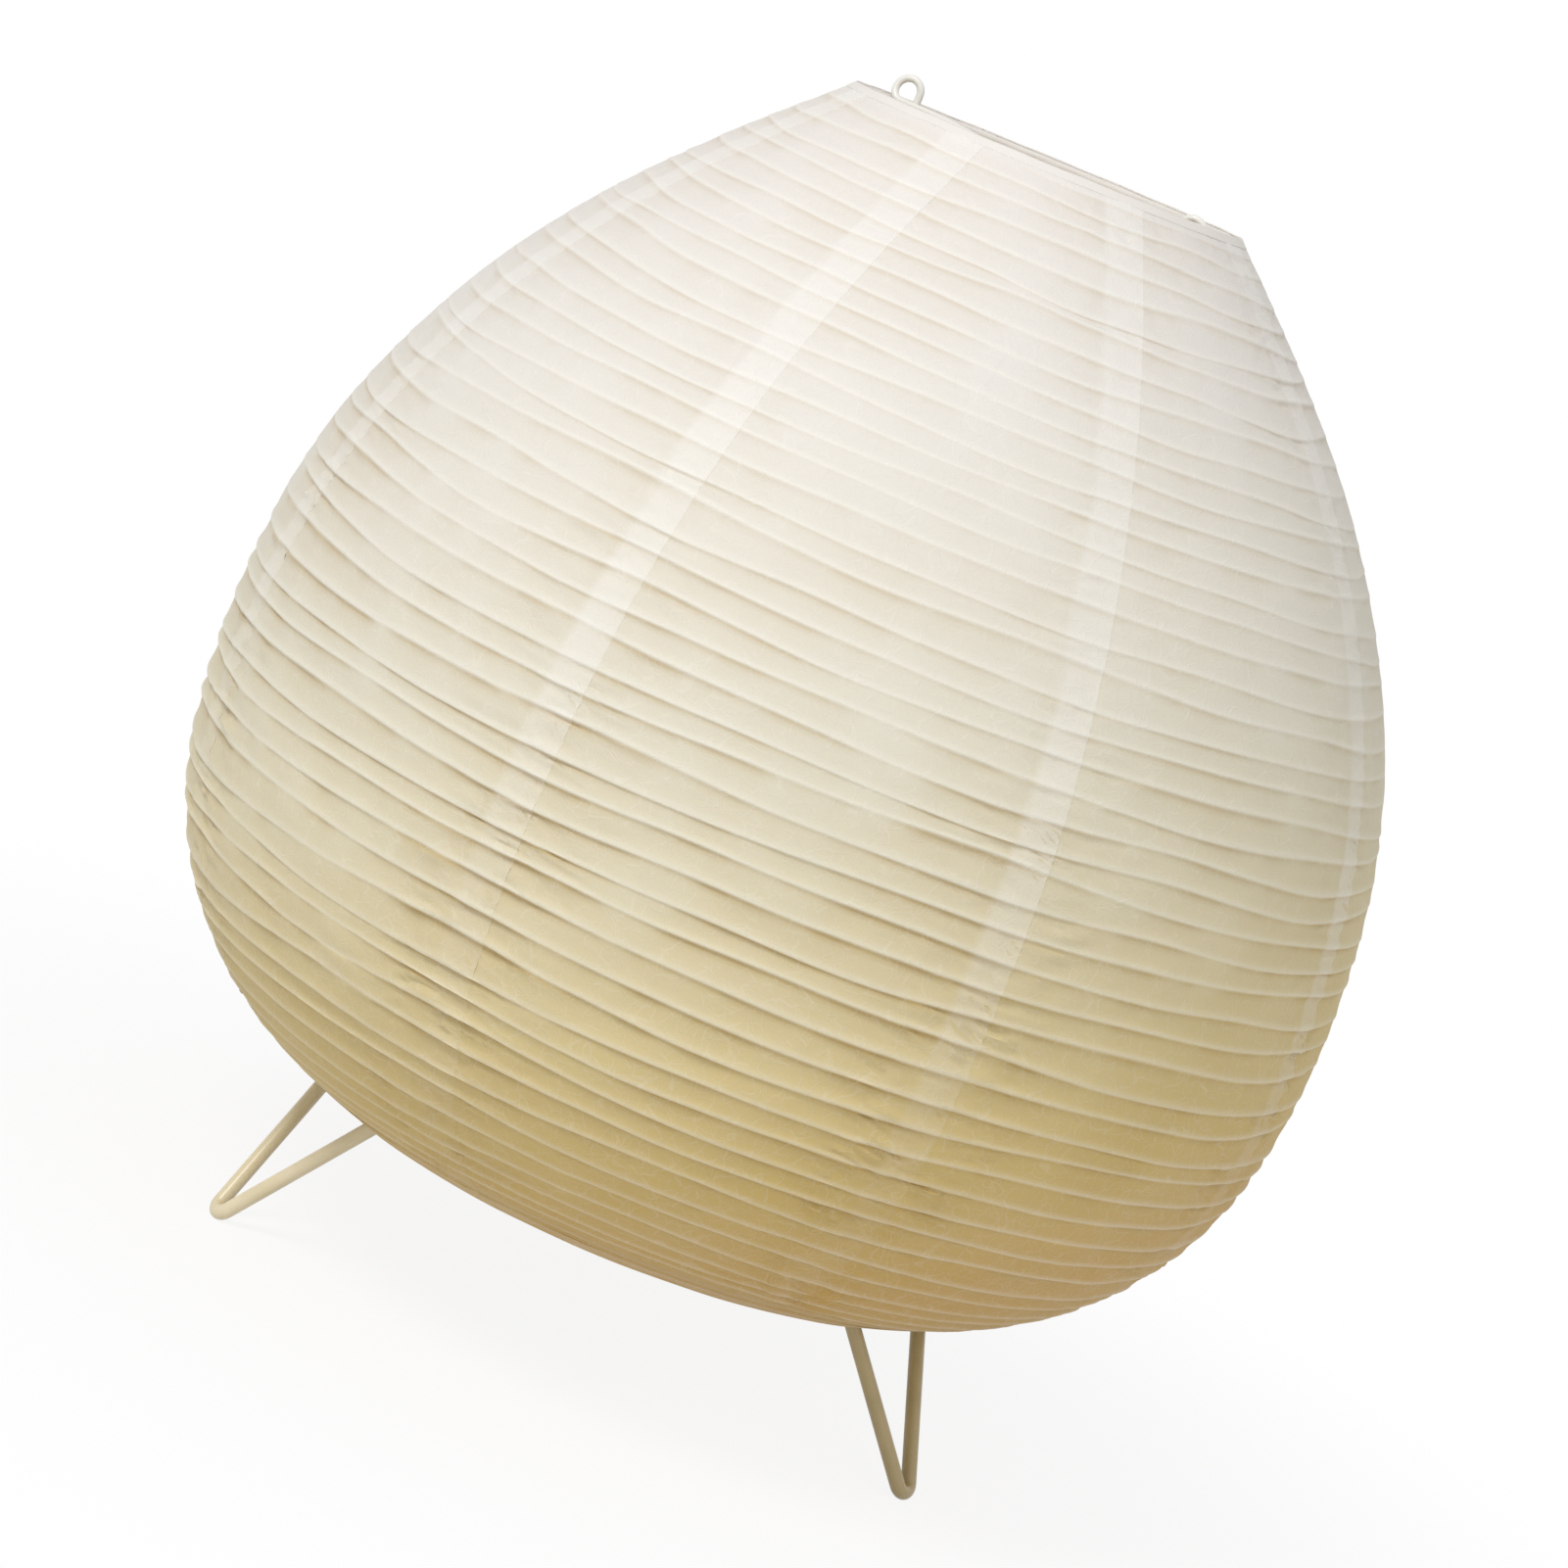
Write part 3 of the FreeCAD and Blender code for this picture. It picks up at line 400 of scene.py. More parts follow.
def rib_tree(wander):
    """The bamboo rib: a strip wound down inside the paper."""
    tree = Tree("bamboo_rib")
    guide_in = tree.socket("Profile", "Object")
    pitch = tree.socket("Rib Pitch", "Float", RIB_PITCH)
    margin = tree.socket("Rib Margin", "Float", RIB_MARGIN)
    inset = tree.socket("Inset", "Float", RIB_INSET)
    radius = tree.socket("Rib Radius", "Float", RIB_RADIUS)
    stray = tree.socket("Rib Stray", "Float", RIB_STRAY)
    bamboo = tree.socket("Bamboo", "Material")
    out = tree.socket("Geometry", "Geometry", out=True)

    per_turn = 88
    line = tree.node("GeometryNodeMeshLine", {"Count": RIB_TURNS * per_turn + 1})
    index = tree.node("GeometryNodeInputIndex")
    turn = tree.math("DIVIDE", index.outputs[0], float(per_turn))
    node = tree.node("GeometryNodeGroup", node_tree=wander)
    tree.feed(node.inputs["Turn"], turn)
    tree.feed(node.inputs["Amount"], stray)
    down = tree.add(margin, tree.times(pitch, turn), node.outputs[0])
    down = tree.math("MAXIMUM", RIB_KEEP[0],
                     tree.math("MINIMUM", SHADE_LENGTH - RIB_KEEP[1], down))
    across, height, out_across, out_up = add_profile_sample(tree, guide_in, down)
    angle = tree.add(tree.times(turn, math.tau), RIB_START)
    placed = turned_place(tree, tree.minus(across, tree.times(out_across, inset)),
                          tree.minus(height, tree.times(out_up, inset)), angle)
    shape = tree.node("GeometryNodeSetPosition", {"Geometry": line.outputs["Mesh"],
                                                  "Position": placed}).outputs[0]
    shape = tree.node("GeometryNodeMeshToCurve", {"Mesh": shape}).outputs[0]
    section = tree.node("GeometryNodeCurvePrimitiveCircle", {"Resolution": 6, "Radius": radius})
    shape = tree.node("GeometryNodeCurveToMesh", {"Curve": shape, "Fill Caps": True,
                                                  "Profile Curve": section.outputs["Curve"]})
    tree.hand_over(shape.outputs[0], bamboo, out)
    return tree.group


def bead_tree():
    """Weld beads: a small lump of paint-covered weld on each point."""
    tree = Tree("weld_beads")
    geometry = tree.socket("Geometry", "Geometry")
    size = tree.socket("Bead Radius", "Float", 0.0034)
    rough = tree.socket("Unevenness", "Float", 0.0007)
    seed = tree.socket("Seed", "Int", 3)
    paint = tree.socket("Paint", "Material")
    out = tree.socket("Geometry", "Geometry", out=True)
    ball = tree.node("GeometryNodeMeshIcoSphere", {"Radius": size, "Subdivisions": 4})
    turn = tree.node("FunctionNodeRandomValue", data_type="FLOAT_VECTOR")
    turn.inputs[0].default_value = (0, 0, 0)
    turn.inputs[1].default_value = (math.tau, math.tau, math.tau)
    tree.feed(next(s for s in turn.inputs if s.name == "Seed"), seed)
    place = tree.node("GeometryNodeInstanceOnPoints", {"Points": geometry,
                                                       "Instance": ball.outputs["Mesh"],
                                                       "Scale": (1.0, 0.9, 0.75)})
    tree.feed(place.inputs["Rotation"], turn.outputs[0])
    shape = tree.node("GeometryNodeRealizeInstances",
                      {"Geometry": place.outputs[0]}).outputs[0]
    spot = tree.node("GeometryNodeInputPosition")
    normal = tree.node("GeometryNodeInputNormal")
    lump = tree.times(tree.noise(spot.outputs[0], 420.0), rough)
    shift = tree.node("ShaderNodeVectorMath", operation="SCALE")
    tree.feed(shift.inputs[0], normal.outputs[0])
    tree.feed(shift.inputs["Scale"], lump)
    shape = tree.node("GeometryNodeSetPosition", {"Geometry": shape,
                                                  "Offset": shift.outputs[0]}).outputs[0]
    tree.hand_over(shape, paint, out)
    return tree.group


def grow(name, group, values, start=None, wall=0.0):
    """A plain mesh object from a geometry tree with these input values."""
    seed_mesh = start or bpy.data.meshes.new(name + "_start")
    item = bpy.data.objects.new(name + "_grown", seed_mesh)
    bpy.context.scene.collection.objects.link(item)
    modifier = item.modifiers.new("tree", "NODES")
    modifier.node_group = group
    sockets = {s.name: s.identifier for s in group.interface.items_tree
               if s.item_type == "SOCKET" and s.in_out == "INPUT"}
    for key, value in values.items():
        modifier[sockets[key]] = value
    if wall:
        thick = item.modifiers.new("wall", "SOLIDIFY")
        thick.thickness = wall
        thick.offset = -1.0
    graph = bpy.context.evaluated_depsgraph_get()
    mesh = bpy.data.meshes.new_from_object(item.evaluated_get(graph))
    mesh.name = name
    bpy.data.objects.remove(item)
    if wall:
        mesh.set_sharp_from_angle(angle=math.radians(55.0))
    made = bpy.data.objects.new(name, mesh)
    bpy.context.scene.collection.objects.link(made)
    return made


# ---------------------------------------------------------------- materials

class Finish:
    """A material with one Principled BSDF, and short words for its nodes."""

    def __init__(self, name, color, roughness, **plain):
        self.material = bpy.data.materials.new(name)
        self.material.use_nodes = True
        self.nodes = self.material.node_tree.nodes
        self.links = self.material.node_tree.links
        self.shader = self.nodes["Principled BSDF"]
        self.shader.inputs["Base Color"].default_value = (*color, 1)
        self.shader.inputs["Roughness"].default_value = roughness
        for key, value in plain.items():
            self.shader.inputs[key.replace("_", " ")].default_value = value
        self.place = self.nodes.new("ShaderNodeTexCoord").outputs["Object"]

    def node(self, kind, links=None, **options):
        node = self.nodes.new(kind)
        for key, value in options.items():
            setattr(node, key, value)
        for key, value in (links or {}).items():
            self.feed(node.inputs[key], value)
        return node

    def feed(self, socket, value):
        if isinstance(value, bpy.types.NodeSocket):
            self.links.new(value, socket)
        else:
            socket.default_value = value

    def effect(self, group, **values):
        """An effect group placed in this material: returns its outputs by name."""
        node = self.node("ShaderNodeGroup", node_tree=group)
        self.feed(node.inputs["Vector"], self.place)
        for key, value in values.items():
            self.feed(node.inputs[key.replace("_", " ")], value)
        return node.outputs

    def attribute(self, name, output="Fac"):
        return self.node("ShaderNodeAttribute", attribute_name=name).outputs[output]

    def share(self, value, amount):
        """A mask brought down to a share."""
        return self.node("ShaderNodeMath", {0: value, 1: amount}, operation="MULTIPLY").outputs[0]

    def mix(self, factor, one, other):
        node = self.node("ShaderNodeMix", data_type="RGBA")
        self.feed(node.inputs[0], factor)
        for socket, value in ((node.inputs[6], one), (node.inputs[7], other)):
            self.feed(socket, (*value, 1) if isinstance(value, tuple) else value)
        return node.outputs[2]

    def bump(self, height, distance, strength=1.0, normal=None):
        node = self.node("ShaderNodeBump", {"Height": height, "Distance": distance,
                                            "Strength": strength})
        if normal:
            self.feed(node.inputs["Normal"], normal)
        self.feed(self.shader.inputs["Normal"], node.outputs[0])
        return node.outputs[0]

    def color(self, value):
        self.feed(self.shader.inputs["Base Color"], value)

    def roughness(self, value, low, high):
        node = self.node("ShaderNodeMapRange", {"Value": value, "To Min": low, "To Max": high})
        self.feed(self.shader.inputs["Roughness"], node.outputs[0])


def mottle_group():
    """Effect: cloudy unevenness with a fine grain on it."""
    tree = Tree("mottle", "ShaderNodeTree")
    vector = tree.socket("Vector", "Vector")
    cloud_scale = tree.socket("Cloud Scale", "Float", 20.0)
    grain_scale = tree.socket("Grain Scale", "Float", 900.0)
    clouds_out = tree.socket("Clouds", "Float", out=True)
    grain_out = tree.socket("Grain", "Float", out=True)
    for scale, detail, target in ((cloud_scale, 3.0, clouds_out), (grain_scale, 2.0, grain_out)):
        node = tree.node("ShaderNodeTexNoise", {"Vector": vector, "Scale": scale,
                                                "Detail": detail})
        tree.feed(target, node.outputs[0])
    return tree.group


def fibre_group():
    """Effect: thin pale fibres that cross each other, as in long-fibred paper."""
    tree = Tree("paper_fibres", "ShaderNodeTree")
    vector = tree.socket("Vector", "Vector")
    scale = tree.socket("Fibre Scale", "Float", 90.0)
    thickness = tree.socket("Fibre Width", "Float", 0.03)
    out = tree.socket("Fibres", "Float", out=True)
    total = None
    for shift, stretch in ((0.0, (1.0, 1.0, 3.0)), (7.3, (2.6, 2.6, 0.8))):
        bent = tree.node("ShaderNodeTexNoise", {"Vector": vector, "Scale": 40.0})
        moved = tree.node("ShaderNodeVectorMath", operation="MULTIPLY_ADD")
        tree.feed(moved.inputs[0], bent.outputs["Color"])
        moved.inputs[1].default_value = (0.02, 0.02, 0.02)
        tree.feed(moved.inputs[2], vector)
        spread = tree.node("ShaderNodeVectorMath", operation="MULTIPLY_ADD")
        tree.feed(spread.inputs[0], moved.outputs[0])
        spread.inputs[1].default_value = stretch
        spread.inputs[2].default_value = (shift, shift, shift)
        cells = tree.node("ShaderNodeTexVoronoi", {"Vector": spread.outputs[0], "Scale": scale},
                          feature="DISTANCE_TO_EDGE")
        line = tree.between(cells.outputs[0], 0.0, thickness, 1.0, 0.0)
        total = line if total is None else tree.math("MAXIMUM", total, line)
    tree.feed(out, total)
    return tree.group


def streak_group():
    """Effect: lines round the axis, as drawing, turning or combing leaves them."""
    tree = Tree("streaks", "ShaderNodeTree")
    vector = tree.socket("Vector", "Vector")
    stretch = tree.socket("Stretch", "Vector")
    scale = tree.socket("Streak Scale", "Float", 60.0)
    out = tree.socket("Streaks", "Float", out=True)
    spread = tree.node("ShaderNodeVectorMath", operation="MULTIPLY")
    tree.feed(spread.inputs[0], vector)
    tree.feed(spread.inputs[1], stretch)
    node = tree.node("ShaderNodeTexNoise", {"Vector": spread.outputs[0], "Scale": scale,
                                            "Detail": 4.0})
    tree.feed(out, node.outputs[0])
    return tree.group


def paper_tint_group():
    """Effect: the paper's colour, white at the rim and darker and golden towards the bottom,
    partly the paper's own yellowing and partly painted shade, with painted shade on the +X side
    too.
    """
    tree = Tree("paper_tint", "ShaderNodeTree")
    vector = tree.socket("Vector", "Vector")
    out = tree.socket("Tint", "Color", out=True)
    spot = tree.node("ShaderNodeSeparateXYZ", {"Vector": vector})
    side = spot.outputs["X"]
    # Painted shade: on the +X side the colour moves towards the darker gold of the bottom.
    side_shade = tree.times(side, tree.add(0.34, tree.times(side, 0.3)))
    height = tree.minus(spot.outputs["Z"], side_shade)
    span = tree.node("ShaderNodeMapRange", {"Value": height, "From Min": TINT_LOW,
                                            "From Max": TINT_HIGH})
    ramp = tree.node("ShaderNodeValToRGB")
    tree.feed(ramp.inputs[0], span.outputs[0])
    stops = ramp.color_ramp.elements
    for where, color in PAPER_TINTS:
        stop = stops.new(where) if 0 < where < 1 else stops[0 if where == 0 else -1]
        stop.color = (*color, 1)
    tree.feed(out, ramp.outputs["Color"])
    return tree.group


TINT_LOW, TINT_HIGH = 0.06, 0.53  # the heights of the paper's first and last colour
# the paper's colour from base to rim, its darker base partly painted shade; the two ends come
# first, as the ramp has them already
PAPER_TINTS = ((0.0, (0.53, 0.315, 0.058)), (1.0, (0.785, 0.745, 0.705)),
               (0.13, (0.605, 0.435, 0.128)), (0.24, (0.665, 0.54, 0.26)),
               (0.38, (0.69, 0.62, 0.43)), (0.52, (0.72, 0.68, 0.56)),
               (0.66, (0.745, 0.705, 0.62)), (0.8, (0.765, 0.73, 0.68)))
MOTTLE = mottle_group()
TINT = paper_tint_group()
FIBRES = fibre_group()
STREAKS = streak_group()


def shade_paper():
    """Long-fibred white paper, paler where it is double, with painted shade in the hollows and
    under the ribs and a painted highlight along the ribs' crests.

    Its inner face has a painted glow: emission in the paper's tint stands in for the daylight
    that thin paper lets through."""
    f = Finish("shade_paper", (0.8, 0.76, 0.66), 0.82, Sheen_Weight=0.1,
               Emission_Strength=0.2)
    f.place = f.attribute("rest_place", "Vector")
    mottle = f.effect(MOTTLE, Cloud_Scale=16.0, Grain_Scale=700.0)
    fibres = f.effect(FIBRES, Fibre_Scale=70.0, Fibre_Width=0.035)["Fibres"]
    # The tint: darker and more golden towards the bottom, partly as painted shade, with painted
    # shade on the +X side.
    tint = f.effect(TINT)["Tint"]
    cloudy = f.share(mottle["Clouds"], 0.12)
    base = f.mix(cloudy, tint, (0.9, 0.88, 0.82))
    # Painted shade in the hollows and under the ribs, and a painted highlight on the crests.
    base = f.mix(f.share(f.attribute("hollow"), 0.16), base, (0.60, 0.46, 0.20))
    base = f.mix(f.share(f.attribute("crease"), 0.68), base, (0.46, 0.31, 0.10))
    base = f.mix(f.share(f.attribute("crest"), 0.34), base, (0.92, 0.88, 0.77))
    base = f.mix(f.share(f.attribute("double"), 0.27), base, (0.92, 0.91, 0.88))
    base = f.mix(f.share(fibres, 0.10), base, (0.95, 0.94, 0.9))
    f.color(base)
    # Painted glow: the inner face gives off light in the paper's tint.
    f.feed(f.shader.inputs["Emission Color"], f.mix(f.attribute("inside"), (0, 0, 0), tint))
    f.roughness(mottle["Grain"], 0.74, 0.9)
    first = f.bump(fibres, 0.00012, 0.5)
    f.bump(mottle["Grain"], 0.0002, 0.5, first)
    return f.material


def hem_paper():
    """The tape folded round each hoop and the strip pasted at each mouth."""
    f = Finish("hem_paper", (0.84, 0.81, 0.74), 0.8, Sheen_Weight=0.1)
    f.place = f.attribute("rest_place", "Vector")
    mottle = f.effect(MOTTLE, Cloud_Scale=60.0, Grain_Scale=800.0)
    # The tint: darker and more golden towards the bottom, partly as painted shade, with painted
    # shade on the +X side.
    tint = f.effect(TINT)["Tint"]
    f.color(f.mix(f.share(mottle["Clouds"], 0.4), tint, (0.88, 0.85, 0.76)))
    f.roughness(mottle["Grain"], 0.72, 0.88)
    f.bump(mottle["Grain"], 0.0002, 0.4)
    return f.material


def split_bamboo():
    f = Finish("split_bamboo", (0.62, 0.45, 0.22), 0.55)
    f.place = f.attribute("rest_place", "Vector")
    streaks = f.effect(STREAKS, Stretch=(3.0, 3.0, 60.0), Streak_Scale=14.0)["Streaks"]
    mottle = f.effect(MOTTLE, Cloud_Scale=30.0, Grain_Scale=1200.0)
    base = f.mix(streaks, (0.70, 0.53, 0.28), (0.50, 0.34, 0.15))
    f.color(f.mix(mottle["Clouds"], base, (0.72, 0.58, 0.33)))
    f.roughness(mottle["Grain"], 0.42, 0.68)
    f.bump(streaks, 0.0002, 0.5)
    return f.material


def frame_paint():
    """Cream enamel over welded wire, yellower towards the bottom, with painted shade darkening it
    at the right front foot.
    """
    f = Finish("frame_paint", (0.8, 0.74, 0.57), 0.34, Coat_Weight=0.25, Coat_Roughness=0.2)
    mottle = f.effect(MOTTLE, Cloud_Scale=45.0, Grain_Scale=650.0)
    spot = f.node("ShaderNodeSeparateXYZ", {"Vector": f.place}).outputs
    lower_share = f.node("ShaderNodeMapRange", {"Value": spot["Z"], "From Min": 0.1,
                                             "From Max": 0.5, "To Min": 1.0,
                                             "To Max": 0.0}).outputs[0]
    # Painted shade: low down on the +X side, at the right front foot, the paint is darkened to a
    # deep tan.
    right_foot_shade = f.node("ShaderNodeMapRange", {"Value": spot["X"], "From Min": 0.02,
                                            "From Max": 0.11, "To Max": 0.85}).outputs[0]
    right_foot_shade = f.node("ShaderNodeMath", {0: right_foot_shade, 1: lower_share}, operation="MULTIPLY")
    upper_paint = f.mix(mottle["Clouds"], (0.86, 0.85, 0.81), (0.78, 0.77, 0.71))
    lower_paint = f.mix(mottle["Clouds"], (0.83, 0.75, 0.56), (0.68, 0.58, 0.35))
    foot_shade_colour = f.mix(mottle["Clouds"], (0.50, 0.38, 0.17), (0.30, 0.23, 0.09))
    f.color(f.mix(right_foot_shade.outputs[0], f.mix(lower_share, upper_paint, lower_paint), foot_shade_colour))
    f.roughness(mottle["Clouds"], 0.24, 0.5)
    f.bump(mottle["Grain"], 0.00015, 0.35)
    return f.material


def metal(name, color, other, low, high, stretch, scale):
    """A bare or plated metal with fine lines and uneven gloss."""
    f = Finish(name, color, (low + high) / 2, Metallic=1.0)
    streaks = f.effect(STREAKS, Stretch=stretch, Streak_Scale=scale)["Streaks"]
    mottle = f.effect(MOTTLE, Cloud_Scale=80.0, Grain_Scale=1500.0)
    f.color(f.mix(mottle["Clouds"], color, other))
    f.roughness(streaks, low, high)
    f.bump(streaks, 0.00005, 0.35)
    return f.material


def moulded(name, color, other, low, high):
    """Moulded plastic, ceramic or enamel with a faint orange-peel skin."""
    f = Finish(name, color, (low + high) / 2)
    mottle = f.effect(MOTTLE, Cloud_Scale=55.0, Grain_Scale=1100.0)
    f.color(f.mix(mottle["Clouds"], color, other))
    f.roughness(mottle["Grain"], low, high)
    f.bump(mottle["Grain"], 0.00012, 0.3)
    return f.material


def blown_glass(name, tint, roughness):
    f = Finish(name, tint, roughness, IOR=1.5, Transmission_Weight=1.0)
    mottle = f.effect(MOTTLE, Cloud_Scale=25.0, Grain_Scale=300.0)
    f.color(f.mix(mottle["Clouds"], tint, (1.0, 1.0, 1.0)))
    f.bump(mottle["Clouds"], 0.0004, 0.15)
    return f.material


def coated_filament():
    """Yellow phosphor on the bulb's upright light strips."""
    f = Finish("filament", (0.86, 0.62, 0.12), 0.6)
    mottle = f.effect(MOTTLE, Cloud_Scale=160.0, Grain_Scale=2500.0)
    f.color(f.mix(mottle["Grain"], (0.9, 0.67, 0.15), (0.72, 0.47, 0.07)))
    f.roughness(mottle["Grain"], 0.45, 0.75)
    f.bump(mottle["Grain"], 0.0001, 0.5)
    return f.material


FINISH = {
    "shade_paper": shade_paper(),
    "hem_tape": hem_paper(),
    "bamboo": split_bamboo(),
    "frame_paint": frame_paint(),
    "hoop_wire": metal("hoop_wire", (0.62, 0.61, 0.58), (0.42, 0.40, 0.36), 0.28, 0.5,
                       (1, 1, 12), 90.0),
    "zinc_plate": metal("zinc_plate", (0.72, 0.73, 0.74), (0.58, 0.60, 0.62), 0.25, 0.45,
                        (1, 10, 10), 60.0),
    "brass": metal("brass", (0.86, 0.66, 0.33), (0.70, 0.50, 0.22), 0.2, 0.42,
                   (1, 1, 14), 80.0),
    "nickel": metal("nickel", (0.78, 0.76, 0.72), (0.66, 0.64, 0.60), 0.16, 0.34,
                    (1, 1, 14), 80.0),
    "bulb_metal": metal("bulb_metal", (0.80, 0.80, 0.79), (0.68, 0.68, 0.67), 0.2, 0.4,
                        (1, 1, 16), 90.0),
    "solder": metal("solder", (0.62, 0.62, 0.63), (0.48, 0.48, 0.50), 0.3, 0.5,
                    (1, 1, 1), 200.0),
    "gland_nylon": moulded("gland_nylon", (0.80, 0.79, 0.75), (0.74, 0.73, 0.68), 0.4, 0.55),
    "holder_case": moulded("holder_case", (0.80, 0.78, 0.72), (0.75, 0.73, 0.66), 0.3, 0.45),
    "block_ceramic": moulded("block_ceramic", (0.84, 0.83, 0.80), (0.78, 0.76, 0.71), 0.25, 0.45),
    "cap_glass": moulded("cap_glass", (0.03, 0.03, 0.035), (0.05, 0.05, 0.055), 0.1, 0.25),
    "bulb_clear_glass": blown_glass("bulb_clear_glass", (0.985, 0.99, 0.985), 0.02),
    "stem_glass": blown_glass("stem_glass", (0.96, 0.98, 0.97), 0.08),
    "filament": coated_filament(),
}

NODE_SLOTS = {
    "base_ring": "frame_paint", "front_right_leg": "frame_paint",
    "front_left_leg": "frame_paint", "rear_leg": "frame_paint", "base_strap": "frame_paint",
    "stretcher": "frame_paint", "right_socket": "frame_paint", "left_socket": "frame_paint",
    "top_hoop": "hoop_wire", "bottom_hoop": "hoop_wire",
    "threaded_nipple": "zinc_plate", "lock_nut": "zinc_plate", "cord_gland": "gland_nylon",
    "holder_cap": "holder_case", "holder_body": "holder_case",
    "terminal_block": "block_ceramic", "terminal_screws": "brass", "screw_shell": "nickel",
    "centre_contact": "brass", "bulb_button": "solder", "bulb_insulator": "cap_glass",
    "bulb_cap": "bulb_metal", "bulb_glass": "bulb_clear_glass", "bulb_stem": "stem_glass",
    "bulb_filaments": "filament",
}
for name, slot in NODE_SLOTS.items():
    node = nodes[name]
    node.data.materials.clear()
    node.data.materials.append(FINISH[slot])


# ---------------------------------------------------------------- the shade


def keep_places(piece):
    """Each point's place at rest, which the soft finishes read: they fold with the paper."""
    mesh = piece.data
    places = np.empty(3 * len(mesh.vertices), dtype=np.float32)
    mesh.vertices.foreach_get("co", places)
    mesh.attributes.new("rest_place", "FLOAT_VECTOR", "POINT").data.foreach_set("vector", places)


def mark_inside(piece):
    """Marks the paper's inner face, whose normals point towards the axis."""
    mesh = piece.data
    inside = [float(v.normal.xy.dot(v.co.xy) < 0) for v in mesh.vertices]
    mesh.attributes.new("inside", "FLOAT", "POINT").data.foreach_set("value", inside)


def folds(piece):
    """Keeps each point's place at rest on the piece and attaches it to the frame body, with a
    mesh of its own.
    """
    keep_places(piece)
    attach(piece, "frame")
    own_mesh(piece)


def shade():
    """The eight gores and the rib inside them."""
    wander = rib_wander()
    gore = gore_tree(wander)
    for number in range(GORES):
        middle = RIB_START + GORE_ANGLE * number
        piece = grow(f"gore_{number + 1}", gore,
                     {"Profile": guide, "Middle": middle, "Paper": FINISH["shade_paper"]},
                     wall=PAPER)
        mark_inside(piece)
        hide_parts(f"paper_panel_{number + 1}")
        folds(piece)
    piece = grow("wound_rib", rib_tree(wander), {"Profile": guide, "Bamboo": FINISH["bamboo"]})
    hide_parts("bamboo_rib")
    folds(piece)


def lathe(name, outline, material, wave, sides=240):
    """A closed ring turned about the axis from (radius, height) corners.

    The corners run clockwise as seen with the radius to the right and the height up."""
    count = len(outline)
    points = []
    for side in range(sides):
        angle = math.tau * side / sides
        for index, (radius, height) in enumerate(outline):
            shift = wave(angle, index)
            r, z = radius + shift[0], height + shift[1]
            points.append((r * math.cos(angle), r * math.sin(angle), z))
    faces = []
    for side in range(sides):
        after = (side + 1) % sides
        for index in range(count):
            onward = (index + 1) % count
            faces.append((side * count + index, side * count + onward,
                          after * count + onward, after * count + index))
    mesh = bpy.data.meshes.new(name)
    mesh.from_pydata(points, [], faces)
    mesh.materials.append(material)
    mesh.shade_smooth()
    piece = bpy.data.objects.new(name, mesh)
    bpy.context.scene.collection.objects.link(piece)
    return piece


def along_profile(distance, outward):
    """Radius and height of a point so far down the profile and so far outside it."""
    stops = np.concatenate([[0.0], np.cumsum(steps)])
    r = np.interp(distance, stops, profile[:, 0])
    z = np.interp(distance, stops, profile[:, 1])
    ahead = min(distance + 0.001, SHADE_LENGTH)
    behind = max(distance - 0.001, 0.0)
    way_r = np.interp(ahead, stops, profile[:, 0]) - np.interp(behind, stops, profile[:, 0])
    way_z = np.interp(ahead, stops, profile[:, 1]) - np.interp(behind, stops, profile[:, 1])
    size = math.hypot(way_r, way_z)
    return float(r - way_z / size * outward), float(z + way_r / size * outward)


def arm_angles(radius):
    """Where each straight arm of the three legs is so far from the axis."""
    angles = []
    for name in ("front_right_leg", "front_left_leg", "rear_leg"):
        corners = np.array([v.co for v in nodes[name].data.vertices])
        middle = math.atan2(*np.flip(corners[:, :2].mean(axis=0)))
        turned = np.arctan2(corners[:, 1], corners[:, 0])
        away = (turned - middle + math.pi) % math.tau - math.pi
        for side in (1, -1):
            arm = corners[away * side > 0]
            upper = arm[arm[:, 2] > arm[:, 2].max() - 0.004].mean(axis=0)
            lower = arm[arm[:, 2] < arm[:, 2].min() + 0.009].mean(axis=0)
            ends = [math.hypot(lower[0], lower[1]), math.hypot(upper[0], upper[1])]
            share = (radius - ends[0]) / (ends[1] - ends[0])
            place = lower + (upper - lower) * share
            angles.append(math.atan2(place[1], place[0]))
    return angles


